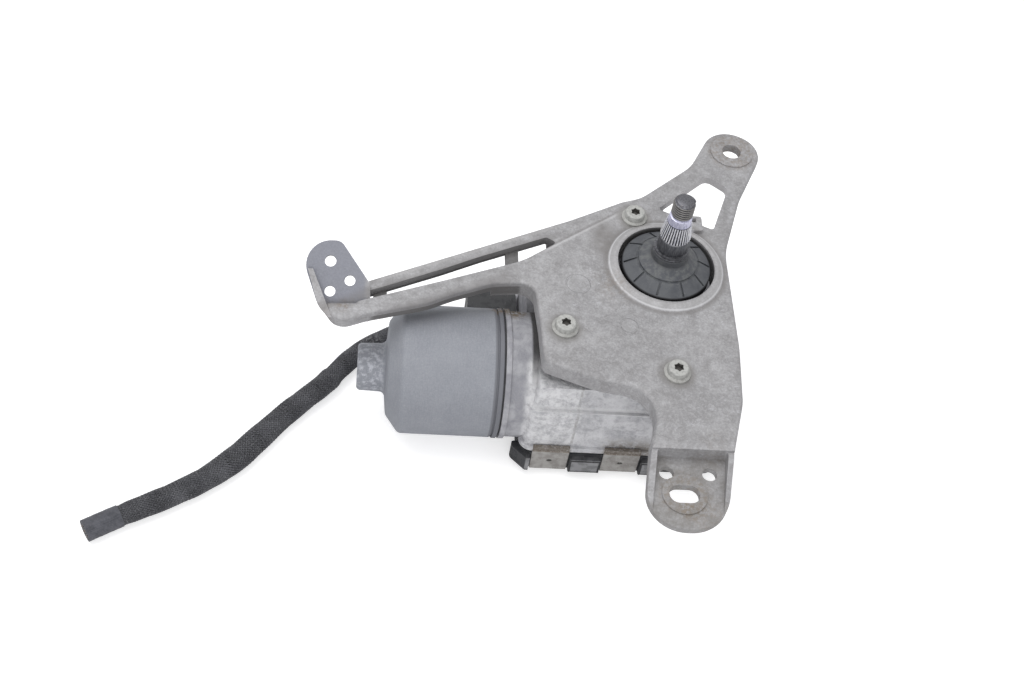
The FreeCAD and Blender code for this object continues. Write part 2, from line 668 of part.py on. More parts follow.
def make_bracket():
    body = new_body("bracket")
    plate = sketch_on(body, "Plate", out=skirt_bottom)
    outline(plate, named_corners(PLATE_CORNERS))
    plate_pad = pad(body, plate, d.skirt_depth)
    top = d.plate_top.value
    straight = d.leg_end_right_y.value
    round_edges(body, plate_pad, d.edge_round,
                lambda edge: min(v.Z for v in edge.Vertexes) > top - 0.01
                and max(v.Y for v in edge.Vertexes) > straight + 0.01)

    hollow = sketch_on(body, "Hollow", out=skirt_bottom)
    outline(hollow, named_corners(HOLLOW_CORNERS))
    pocket(body, hollow, d.skirt_depth - d.plate_thickness, up=True)
    arm = sketch_on(body, "ArmRelief", out=skirt_bottom)
    outline(arm, [(d.window_left_x - d.skirt_wall, d.hollow_back_y + d.skirt_wall),
                  (d.ear_x + d.ear_radius * 2, d.hollow_back_y + d.skirt_wall),
                  (d.ear_x + d.ear_radius * 2, d.ear_y + d.ear_radius * 2),
                  (d.window_left_x - d.skirt_wall, d.ear_y + d.ear_radius * 2)])
    pocket(body, arm, d.skirt_depth - d.plate_thickness, up=True)
    bars = sketch_on(body, "BarRelief", out=skirt_bottom)
    outline(bars, [(d.lower_bar_near_x, d.far_lower_y), (d.lower_bar_near_x, d.upper_bar_y),
                   (d.far_foot_left_x, d.upper_bar_y), (d.far_foot_left_x, d.far_lower_y)])
    pocket(body, bars, d.skirt_depth - d.bar_depth, up=True)
    far_bar = sketch_on(body, "FarBarRelief", out=skirt_bottom)
    outline(far_bar, [(d.gap_far_low_x, d.gap_far_low_y + 2), (d.gap_low_x, (d.gap_low_y + d.gap_high_y) / 2),
                      (d.gap_low_near_x, (d.gap_low_near_y + d.gap_near_high_y) / 2),
                      (d.gap_near_high_x + 1, d.gap_near_high_y - 1), (d.gap_near_high_x + 1, d.upper_bar_y),
                      (d.gap_far_low_x, d.upper_bar_y)])
    pocket(body, far_bar, d.skirt_depth - d.far_bar_depth, up=True)

    collar = sketch_on(body, "Collar", "XZ_Plane")
    outline(collar, [(d.opening_radius, skirt_bottom), (d.opening_radius + d.collar_wall, skirt_bottom),
                     (d.opening_radius + d.collar_wall, plate_under), (d.collar_foot_radius, plate_under),
                     (d.collar_foot_radius, d.plate_top),
                     (d.collar_top_radius, d.plate_top + d.collar_rise, d.edge_round / 2),
                     (d.opening_radius, d.plate_top + d.collar_rise)])
    spin(body, collar, "V_Axis")
    spot_faces = sketch_on(body, "SpotFaces", out=d.plate_top)
    for name, x, y in SCREWS:
        circle(spot_faces, getattr(d, name + "_x"), getattr(d, name + "_y"), d.screw_flange_radius + 0.4)
    pocket(body, spot_faces, d.collar_rise * 2, up=True)
    opening = sketch_on(body, "Opening", out=d.plate_top + d.collar_rise)
    circle(opening, 0, 0, d.opening_radius)
    pocket(body, opening)
    window = sketch_on(body, "Window", out=d.plate_top)
    outline(window, named_corners(WINDOW_CORNERS))
    pocket(body, window)
    lug = sketch_on(body, "CollarLug", out=skirt_bottom)
    half = d.lug_size / 2
    outline(lug, box_corners(d.lug_x - half, d.lug_x + half, d.lug_y - d.lug_size * 1.2, d.lug_y + half, 1))
    pad(body, lug, d.skirt_depth + d.collar_rise)
    lug_slot = sketch_on(body, "CollarLugSlot", out=d.plate_top + d.collar_rise)
    outline(lug_slot, box_corners(d.lug_x - half - 1, d.lug_x, d.lug_y - half / 2, d.lug_y + half / 2))
    pocket(body, lug_slot, d.collar_rise * 1.5)
    gap = sketch_on(body, "BarGap", out=d.plate_top)
    outline(gap, named_corners(GAP_CORNERS))
    pocket(body, gap)
    for name, near, left in (("WebFar", d.gap_far_high_y, d.far_upper_x + 2.5),
                             ("WebNear", d.gap_high_near_y, d.gap_high_near_x + 12)):
        web = sketch_on(body, name, out=d.plate_top - d.bar_depth)
        outline(web, box_corners(left, left + d.bar_depth, near - 5, near + d.bar_depth + 4))
        pad(body, web, d.web_height)

    ear_pad = sketch_on(body, "EarPad", out=d.plate_top)
    circle(ear_pad, d.ear_x, d.ear_y, d.ear_pad_radius)
    pad(body, ear_pad, d.ear_pad_rise)
    ear_hole = sketch_on(body, "EarHole", out=d.plate_top + d.ear_pad_rise)
    circle(ear_hole, d.ear_x, d.ear_y, d.ear_hole_radius)
    pocket(body, ear_hole)
    screw_holes = sketch_on(body, "ScrewHoles", out=d.plate_top)
    for name, x, y in SCREWS:
        circle(screw_holes, getattr(d, name + "_x"), getattr(d, name + "_y"), d.screw_radius + d.screw_hole_play)
    pocket(body, screw_holes)
    make_near_foot(body)
    make_far_foot(body)
    return body


def make_near_foot(body):
    """Dropped foot with side rims, a slot and two small holes."""
    foot = sketch_on(body, "Foot", out=foot_floor - d.foot_thickness)
    outline(foot, named_corners(FOOT_CORNERS))
    pad(body, foot, d.foot_drop + d.foot_thickness - d.edge_round)
    tray = sketch_on(body, "FootTray", out=d.plate_top)
    outline(tray, [(d.leg_end_left_x + d.foot_rim, d.leg_end_left_y, 1.5),
                   (d.foot_tip_left_x + d.foot_rim, d.foot_tip_left_y - d.foot_rim * 2),
                   (d.foot_tip_right_x - d.foot_rim, d.foot_tip_right_y - d.foot_rim * 2),
                   (d.leg_end_right_x - d.foot_rim, d.leg_end_right_y, 1.5)])
    pocket(body, tray, d.foot_drop)
    slope = sketch_on(body, "FootSlope", "YZ_Plane")
    outline(slope, [(d.leg_end_left_y + d.foot_rim, d.plate_top),
                    (d.leg_end_left_y + d.foot_rim, d.plate_top + d.foot_drop),
                    (d.foot_tip_left_y - d.foot_drop, d.plate_top + d.foot_drop),
                    (d.foot_tip_left_y - d.foot_drop, foot_floor),
                    (d.foot_slot_y - d.foot_pad_radius, foot_floor)])
    pocket(body, slope, None, both=True)
    washer = sketch_on(body, "FootPad", out=foot_floor)
    circle(washer, d.foot_slot_x, d.foot_slot_y, d.foot_pad_radius)
    pad(body, washer, d.foot_pad_rise)
    slot = sketch_on(body, "FootSlot", out=foot_floor + d.foot_pad_rise)
    half = d.foot_slot_length / 2
    reach = d.foot_slot_width / 2
    outline(slot, box_corners(d.foot_slot_x - half, d.foot_slot_x + half, d.foot_slot_y - reach,
                              d.foot_slot_y + reach, reach * 0.97))
    pocket(body, slot)
    holes = sketch_on(body, "FootHoles", out=foot_floor + d.foot_pad_rise)
    for side in (-1, 1):
        circle(holes, d.foot_holes_x + d.foot_holes_gap * (side / 2), d.foot_holes_y, d.foot_hole_radius)
    pocket(body, holes)


def make_far_foot(body):
    """Sloping foot at the end of the two bars, with a rim, one large hole and two small ones."""
    def on_slope(name, lift=0):
        sketch = sketch_on(body, name, turn=d.far_tilt, turn_axis=(1, 0, 0))
        sketch.setExpression("AttachmentOffset.Base.y", (d.far_line - sine(d.far_tilt) * lift).text)
        sketch.setExpression("AttachmentOffset.Base.z", (far_floor + cosine(d.far_tilt) * lift).text)
        return sketch

    foot = on_slope("FarFoot")
    outline(foot, named_corners(FAR_CORNERS))
    pad(body, foot, d.far_thickness, up=False)
    seat = on_slope("FarPad", -d.far_thickness)
    circle(seat, d.far_hole_x, d.far_hole_y, d.far_pad_radius)
    pad(body, seat, d.far_pad_rise, up=False)
    rim = on_slope("FarRim")
    inner = d.far_foot_left_x + d.far_rim_width
    outline(rim, [(d.far_foot_near_x, d.far_foot_near_y), (d.far_foot_near_x + d.far_rim_end * 2, d.far_foot_near_y),
                  (inner, d.far_foot_left_y, 10),
                  (d.far_hole_x - d.far_rim_width * 1.75, d.far_pilot_right_y + d.far_rim_width),
                  (d.far_hole_x - d.far_rim_width * 2.3, d.far_pilot_right_y + d.far_rim_width),
                  (d.far_foot_left_x, d.far_foot_left_y, 12)])
    pad(body, rim, d.far_rim_height)
    taper = sketch_on(body, "RimTaper", "YZ_Plane", out=d.far_foot_tip_left_x - d.far_rim_width)
    slope = (cosine(d.far_tilt), sine(d.far_tilt))
    ends = []
    for along, lift in ((d.far_foot_near_y + d.far_rim_width, d.far_rim_height),
                        (d.far_pilot_right_y + d.far_rim_width * 2, d.far_rim_end)):
        ends.append((d.far_line + slope[0] * along - slope[1] * lift,
                     far_floor + slope[1] * along + slope[0] * lift))
    outline(taper, ends + [(ends[1][0], d.plate_top + d.far_reach_up), (ends[0][0], d.plate_top + d.far_reach_up)])
    pocket(body, taper, d.far_foot_bend_x - d.far_foot_tip_left_x, up=True)
    holes = on_slope("FarHoles", d.far_rim_height)
    for name, x, y in FAR_HOLES:
        radius = d.far_hole_radius if name == "far_hole" else d.far_pilot_radius
        circle(holes, getattr(d, name + "_x"), getattr(d, name + "_y"), radius)
    pocket(body, holes)


# Gear case, cover and what closes them

def make_gear_housing():
    body = new_body("gear_housing")
    case = sketch_on(body, "Case", out=d.case_base)
    outline(case, case_corners())
    pad(body, case, d.case_top - d.case_base, draft=d.case_draft)
    flange = sketch_on(body, "Flange", out=d.case_base)
    outline(flange, case_corners(d.flange_rim))
    pad(body, flange, d.flange_thickness)
    block = sketch_on(body, "Block", out=d.case_base)
    outline(block, [(block_left, d.case_front, d.case_front_left_round),
                    (d.block_right, d.case_front, d.case_front_right_round),
                    (d.block_right, d.block_back, d.case_front_left_round),
                    (block_left, d.block_back, d.case_front_left_round)])
    pad(body, block, d.block_top - d.case_base, draft=d.block_draft)
    neck = sketch_on(body, "Neck", along=-axis_gap, out=d.motor_height)
    neck_start = d.yoke_open_end + d.seal_width
    outline(neck, [(neck_start, 0), (neck_start, d.yoke_flange_radius, 0.4),
                   (neck_start + d.neck_flange_width, d.yoke_flange_radius, 0.4),
                   (neck_start + d.neck_flange_width, d.neck_radius),
                   (d.bearing_rear + 1, d.neck_radius), (d.bearing_rear + 1, 0)])
    spin(body, neck)

    tube = sketch_on(body, "Tube", out=d.case_top - d.case_wall)
    circle(tube, 0, 0, d.tube_radius)
    pad(body, tube, d.tube_top - d.case_top + d.case_wall)
    rib = sketch_on(body, "Rib", out=d.case_top - 1)
    outline(rib, box_corners(d.tube_radius - 1, wheel_pitch_radius, -d.rib_width / 2, d.rib_width / 2))
    rib_pad = pad(body, rib, d.rib_height + 1)
    polar(body, rib_pad, 6)
    bosses = sketch_on(body, "Bosses", out=d.case_top - d.case_wall)
    for name, x, y in SCREWS:
        circle(bosses, getattr(d, name + "_x"), getattr(d, name + "_y"), d.boss_radius)
    pad(body, bosses, plate_under - d.case_top + d.case_wall)
    screw_holes = sketch_on(body, "BossHoles", out=plate_under)
    for name, x, y in SCREWS:
        circle(screw_holes, getattr(d, name + "_x"), getattr(d, name + "_y"), d.screw_radius + d.screw_play)
    pocket(body, screw_holes, d.screw_length - d.plate_thickness + 1)

    cover_room = sketch_on(body, "CoverRoom", out=d.case_base)
    outline(cover_room, box_corners(d.case_left - d.flange_rim - d.seat_play * 2, d.case_right,
                                    d.case_front - d.lug_depth * 2, d.case_back))
    pocket(body, cover_room)
    wheel_room = sketch_on(body, "WheelRoom", out=d.case_base)
    circle(wheel_room, 0, 0, wheel_radius + d.wheel_room)
    pocket(body, wheel_room, ceiling - d.case_base, up=True)
    bay = sketch_on(body, "CableBay", out=d.case_base)
    outline(bay, box_corners(d.case_left + d.case_wall, -d.tube_radius, d.block_back + d.case_wall * 2,
                             d.cable_y + d.outlet_width / 2 - d.case_wall * 2, 2))
    pocket(body, bay, ceiling - d.case_base, up=True)
    front_room = sketch_on(body, "FrontRoom", out=d.case_base)
    outline(front_room, box_corners(d.case_left + d.case_wall * 2, d.block_right - d.case_wall * 3,
                                    d.case_front + d.case_wall * 1.4, -axis_gap - d.tunnel_radius - d.case_wall, 3))
    pocket(body, front_room, d.motor_height, up=True)

    bores = sketch_on(body, "MotorBores", along=-axis_gap, out=d.motor_height)
    outline(bores, [(neck_start - 1, 0), (neck_start - 1, d.neck_inner_radius),
                    (d.bearing_rear, d.neck_inner_radius), (d.bearing_rear, d.bearing_radius),
                    (d.bearing_rear + d.bearing_width, d.bearing_radius),
                    (d.bearing_rear + d.bearing_width, d.tunnel_radius),
                    (d.front_bush_rear, d.tunnel_radius), (d.front_bush_rear, d.front_bush_radius),
                    (d.front_bush_front, d.front_bush_radius),
                    (d.front_bush_front, d.shaft_radius + d.seat_play * 2),
                    (d.block_right - d.case_wall, d.shaft_radius + d.seat_play * 2),
                    (d.block_right - d.case_wall, 0)])
    spin(body, bores, cut=True)
    bush_bore = sketch_on(body, "BushBore", out=d.tube_top)
    circle(bush_bore, 0, 0, bush_outer_radius)
    pocket(body, bush_bore, d.tube_top - ceiling + 1)
    return body


def make_bottom_cover():
    body = new_body("bottom_cover")
    base = sketch_on(body, "Base")
    outline(base, case_corners(-d.clip_sheet))
    pad(body, base, d.cover_ledge)
    rim = sketch_on(body, "Rim", out=d.cover_ledge)
    outline(rim, case_corners(d.flange_rim))
    pad(body, rim, cover_top - d.cover_ledge)
    outlet = sketch_on(body, "Outlet", "YZ_Plane", out=d.case_left)
    outline(outlet, box_corners(d.cable_y - d.outlet_width / 2, d.cable_y + d.outlet_width / 2,
                                d.outlet_bottom, d.outlet_top, 4))
    pad(body, outlet, d.outlet_length, up=False)
    hollow = sketch_on(body, "TrayHollow", out=cover_top)
    outline(hollow, case_corners(-d.cover_wall))
    pocket(body, hollow, cover_top - d.cover_wall)
    case_room = sketch_on(body, "CaseRoom", out=cover_top)
    outline(case_room, box_corners(d.case_left - d.flange_rim - d.seat_play, d.case_right,
                                   d.case_front, d.case_back))
    pocket(body, case_room, d.outlet_top, up=True)
    first_lug = d.case_left + d.clip_start + d.clip_width + 0.8
    lug_front = d.case_front - d.flange_rim - d.lug_depth
    last_lug = first_lug + d.clip_width + d.lug_width + 1.6
    for name, x, width in (("LugLeft", first_lug, d.lug_width), ("LugRight", last_lug, d.last_lug_width)):
        lug = sketch_on(body, name, out=d.cover_ledge)
        outline(lug, box_corners(x, x + width, lug_front, d.case_front, 0.8))
        pad(body, lug, cover_top - d.cover_ledge - 1.5)
    corner = sketch_on(body, "CornerLug", out=d.cover_ledge)
    lug_left = d.case_left - d.flange_rim - d.lug_depth
    lug_back = d.case_front + d.lug_depth * 2
    outline(corner, [(d.case_left + d.clip_start - 0.8, d.case_front), (d.case_left + d.flange_rim, lug_back),
                     (lug_left, lug_back, 1), (lug_left, d.case_front + d.lug_depth, 3),
                     (d.case_left + d.lug_depth, lug_front, 1.5), (d.case_left + d.clip_start - 0.8, lug_front)])
    pad(body, corner, cover_top - d.cover_ledge - 1.5)
    pillars = sketch_on(body, "Pillars", out=d.cover_wall / 2)
    for x, y in ((d.case_left + 12, d.case_front + 12), (d.case_right - 12, d.case_front + 12),
                 (d.case_right - 16, d.case_back - 16), (-d.case_right + 4, d.case_back - 20)):
        circle(pillars, x, y, d.case_wall)
    pad(body, pillars, d.board_height - d.cover_wall / 2)
    cable_bore = sketch_on(body, "CableBore", "YZ_Plane", out=d.case_left - d.outlet_length)
    circle(cable_bore, d.cable_y, d.cable_height, d.sleeve_radius)
    pocket(body, cable_bore, d.outlet_length + d.case_wall, up=True)
    return body


def make_gasket():
    body = new_body("cover_gasket")
    ring = sketch_on(body, "Ring", out=cover_top)
    outline(ring, case_corners(d.flange_rim / 2))
    outline(ring, case_corners(d.flange_rim / 2 - d.gasket_width))
    pad(body, ring, d.gasket_height)
    return body


def clip_profile(sketch):
    """Section of a clip: a leg with a hook at each end, drawn from the face that it lies on."""
    low = d.cover_ledge - d.seat_play - d.clip_sheet
    high = d.case_base + d.flange_thickness + d.seat_play + d.clip_sheet
    outer = d.clip_sheet + d.seat_play
    outline(sketch, [(-outer, low), (d.clip_hook - d.flange_rim, low),
                     (d.clip_hook - d.flange_rim, low + d.clip_sheet), (-d.seat_play, low + d.clip_sheet),
                     (-d.seat_play, high - d.clip_sheet), (d.clip_hook - d.flange_rim * 1.2, high - d.clip_sheet),
                     (d.clip_hook - d.flange_rim * 1.2, high), (-outer, high)])


def make_cover_clips():
    """Five sheet-steel clips: two in front, two at the back, one at the far side."""
    body = doc.addObject("Part::Compound", "cover_clips")
    body.Label = "cover_clips"
    first_clip = d.case_left + d.clip_start + d.clip_width / 2
    places = [
        (first_clip, d.case_front - d.flange_rim, 0),
        (first_clip + d.clip_width + d.lug_width + 1.6, d.case_front - d.flange_rim, 0),
        (d.case_right + d.flange_rim, d.case_front / 2, 90),
        (Size(0, "0"), d.case_back + d.flange_rim, 180),
        (d.case_right + d.flange_rim, Size(-2, "-2"), 90),
    ]
    clips = []
    for number, (x, y, angle) in enumerate(places, start=1):
        clip = doc.addObject("PartDesign::Body", "Clip%d" % number)
        profile = sketch_on(clip, "Profile%d" % number, "YZ_Plane")
        clip_profile(profile)
        pad(clip, profile, d.clip_width, both=True)
        clip.Placement = Placement(Vector(), Rotation(Vector(0, 0, 1), angle))
        clip.setExpression("Placement.Base.x", x.text)
        clip.setExpression("Placement.Base.y", y.text)
        clips.append(clip)
    body.Links = clips
    body.setExpression("Placement.Base.x", d.spindle_x.text)
    body.setExpression("Placement.Base.y", d.spindle_y.text)
    return body


# Output shaft

def spindle_groove_foot():
    return d.cap_hub_top + d.washer_height + d.seat_play * 2


def make_output_spindle():
    groove = spindle_groove_foot()
    thread_foot = d.spindle_top - d.thread_length
    return turned("output_spindle", [
        (d.spindle_foot, 0), (d.spindle_foot, d.spindle_radius, 0.5),
        (groove, d.spindle_radius), (groove, d.spindle_radius - d.ring_groove_depth),
        (groove + d.ring_height, d.spindle_radius - d.ring_groove_depth),
        (groove + d.ring_height, d.spindle_radius),
        (d.cone_foot, d.spindle_radius), (thread_foot - d.cone_gap, d.cone_top_radius),
        (thread_foot - d.cone_gap, d.cone_top_radius - d.neck_step),
        (thread_foot - d.neck_groove, d.thread_radius + 0.1),
        (thread_foot - d.neck_groove, d.thread_radius - 0.4), (thread_foot, d.thread_radius - 0.4),
        (thread_foot, d.thread_radius), (d.spindle_top - 0.8, d.thread_radius),
        (d.spindle_top, d.thread_radius - 0.8), (d.spindle_top, 0)], vertical=True)


def make_spindle_small_parts():
    upper_bush_top = d.tube_top - d.seat_play * 2
    lower_bush_foot = ceiling + d.seat_play
    bodies = [
        turned("spindle_bush_lower", ring_profile(lower_bush_foot, lower_bush_foot + d.bush_length,
                                                  bush_inner_radius, bush_outer_radius, 0.4), vertical=True),
        turned("spindle_bush_upper", ring_profile(upper_bush_top - d.bush_length, upper_bush_top,
                                                  bush_inner_radius, bush_outer_radius, 0.4), vertical=True),
        turned("spindle_seal", ring_profile(d.tube_top, d.tube_top + 2, d.spindle_radius + d.seat_play,
                                            d.tube_radius - 1, 0.4), vertical=True),
        turned("spindle_washer", ring_profile(d.cap_hub_top + d.seat_play, d.cap_hub_top + d.seat_play
                                              + d.washer_height, d.spindle_radius + d.seat_play,
                                              d.cap_hub_radius - 0.1, 0.2), vertical=True),
        turned("thrust_washer", ring_profile(wheel_top + d.wheel_room + d.seat_play, ceiling - d.seat_play,
                                             d.spindle_radius + d.seat_play, d.wheel_hub_radius, 0.2),
               vertical=True),
    ]
    ring = new_body("retaining_ring")
    groove = spindle_groove_foot()
    shape = sketch_on(ring, "Ring", out=groove + d.seat_play)
    circle(shape, 0, 0, d.cap_hub_radius - 0.2)
    circle(shape, 0, 0, d.spindle_radius - d.ring_groove_depth + d.running_play)
    pad(ring, shape, d.ring_height - d.seat_play * 2)
    mouth = sketch_on(ring, "Mouth", out=groove + d.ring_height)
    outline(mouth, box_corners(-d.thread_radius * 0.6, d.thread_radius * 0.6, d.thread_radius, d.spindle_radius * 2))
    pocket(ring, mouth, d.ring_height)
    bodies.append(ring)
    return bodies


def make_spindle_cap():
    """Ribbed splash cap that sits on the bush tube and closes the bracket's opening."""
    inner = d.tube_radius + d.seat_play
    body = new_body("spindle_cap")
    profile = sketch_on(body, "Dome", "XZ_Plane")
    slope_foot = d.cap_edge_top - d.cap_sheet
    slant = (d.cap_dome_top - d.cap_edge_top) / (d.cap_radius - d.cap_hub_radius)
    skirt = inner + d.cap_sheet * 0.8
    outline(profile, [
        (d.spindle_radius + d.seat_play, d.cap_dome_top - d.cap_sheet * 2),
        (inner, d.cap_dome_top - d.cap_sheet * 2), (inner, d.tube_top - 4), (skirt, d.tube_top - 4),
        (skirt, slope_foot + slant * (d.cap_radius - 1.5 - skirt)),
        (d.cap_radius - 1.5, slope_foot), (d.cap_radius - 1.5, slope_foot - 2), (d.cap_radius, slope_foot - 2),
        (d.cap_radius, d.cap_edge_top, 1.2),
        (d.cap_hub_radius, d.cap_dome_top), (d.cap_hub_radius, d.cap_hub_top, 0.5),
        (d.spindle_radius + d.seat_play, d.cap_hub_top)])
    spin(body, profile, "V_Axis")
    ring_top = d.cap_dome_top - slant * (d.cap_groove_radius - d.cap_hub_radius)
    ring = sketch_on(body, "RingGroove", "XZ_Plane")
    outline(ring, box_corners(d.cap_groove_radius, d.cap_groove_radius + d.cap_groove_width,
                              ring_top - d.cap_groove_depth, ring_top + 2))
    spin(body, ring, "V_Axis", cut=True)
    spoke = sketch_on(body, "Spoke", "XZ_Plane")
    outline(spoke, [(d.cap_groove_radius, ring_top - d.cap_groove_depth),
                    (d.cap_radius - 0.8, d.cap_edge_top - d.cap_groove_depth),
                    (d.cap_radius - 0.8, d.cap_dome_top + 1), (d.cap_groove_radius, d.cap_dome_top + 1)])
    polar(body, pocket(body, spoke, d.cap_groove_width, both=True), d.cap_grooves)
    return body


# Worm wheel and worm

def make_worm_wheel():
    body = new_body("worm_wheel")
    inner = wheel_pitch_radius - dedendum - d.wheel_rim
    mid = d.motor_height
    half_web = d.wheel_web / 2
    profile = sketch_on(body, "Blank", "XZ_Plane")
    outline(profile, [
        (d.insert_radius, wheel_bottom), (d.wheel_hub_radius, wheel_bottom),
        (d.wheel_hub_radius, mid - half_web), (inner, mid - half_web), (inner, wheel_bottom),
        (wheel_radius, wheel_bottom), (wheel_radius, wheel_top), (inner, wheel_top),
        (inner, mid + half_web), (d.wheel_hub_radius, mid + half_web),
        (d.wheel_hub_radius, wheel_top + d.wheel_room), (d.insert_radius, wheel_top + d.wheel_room)])
    spin(body, profile, "V_Axis")
    rib = sketch_on(body, "WebRib", out=mid)
    outline(rib, box_corners(d.wheel_hub_radius - 0.5, inner + 0.5, -1, 1))
    rib_pad = pad(body, rib, d.wheel_width - 2, both=True)
    polar(body, rib_pad, 8)

    pitch = d.tooth_module * math.pi
    lead_angle = Size(math.degrees(math.atan(worm_lead.value / (2 * math.pi * d.worm_pitch_radius.value))),
                      "atan(%s / %s)" % (worm_lead.text, (d.worm_pitch_radius * 2 * math.pi).text))
    half_gap = (pitch + d.tooth_play) / 4
    wide = half_gap + tangent(d.tooth_slope) * (addendum + 0.3)
    narrow = half_gap - tangent(d.tooth_slope) * dedendum
    gap = sketch_on(body, "ToothGap", out=mid, turn=lead_angle, turn_axis=(0, 1, 0))
    outline(gap, [(-wide, -wheel_radius - 0.3), (wide, -wheel_radius - 0.3),
                  (narrow, dedendum - wheel_pitch_radius), (-narrow, dedendum - wheel_pitch_radius)])
    polar(body, pocket(body, gap, d.wheel_width * 1.5, both=True), d.wheel_teeth)
    return body


def make_wheel_insert():
    return turned("wheel_insert", ring_profile(wheel_bottom, wheel_top + d.wheel_room, d.spindle_radius,
                                               d.insert_radius), vertical=True)


def make_sensor_magnet():
    return turned("sensor_magnet", [(d.spindle_foot - 3, 0), (d.spindle_foot - 3, d.spindle_radius - 1, 0.3),
                                    (d.spindle_foot, d.spindle_radius - 1), (d.spindle_foot, 0)], vertical=True)


def make_worm_shaft():
    """Motor shaft with the worm cut into it: a right-hand thread of one start."""
    root_radius = d.worm_pitch_radius - dedendum
    half = d.worm_length / 2
    body = motor_body("worm_shaft")
    profile = sketch_on(body, "Shaft")
    outline(profile, [
        (d.shaft_rear, 0), (d.shaft_rear, d.shaft_radius, 0.5), (-half - 2, d.shaft_radius),
        (-half - 1, root_radius), (half + 1, root_radius), (half + 2, d.shaft_radius),
        (d.shaft_front, d.shaft_radius, 0.5), (d.shaft_front, 0)])
    spin(body, profile)
    pitch = worm_lead
    tooth_half = (pitch - d.tooth_play) / 4
    slope = tangent(d.tooth_slope)
    root_half = tooth_half + slope * dedendum
    tip_half = tooth_half - slope * addendum
    tooth = sketch_on(body, "Tooth")
    start = -worm_lead * 4
    sunk = root_radius - 0.2
    outline(tooth, [(start - root_half, sunk), (start + root_half, sunk),
                    (start + tip_half, d.worm_pitch_radius + addendum),
                    (start - tip_half, d.worm_pitch_radius + addendum)])
    thread = body.newObject("PartDesign::AdditiveHelix", "Thread")
    thread.Profile = tooth
    thread.ReferenceAxis = (tooth, ["H_Axis"])
    thread.Mode = "pitch-turns-angle"
    thread.setExpression("Pitch", worm_lead.text)
    thread.Turns = 8
    thread.LeftHanded = False
    thread.Reversed = False
    return body


# Motor

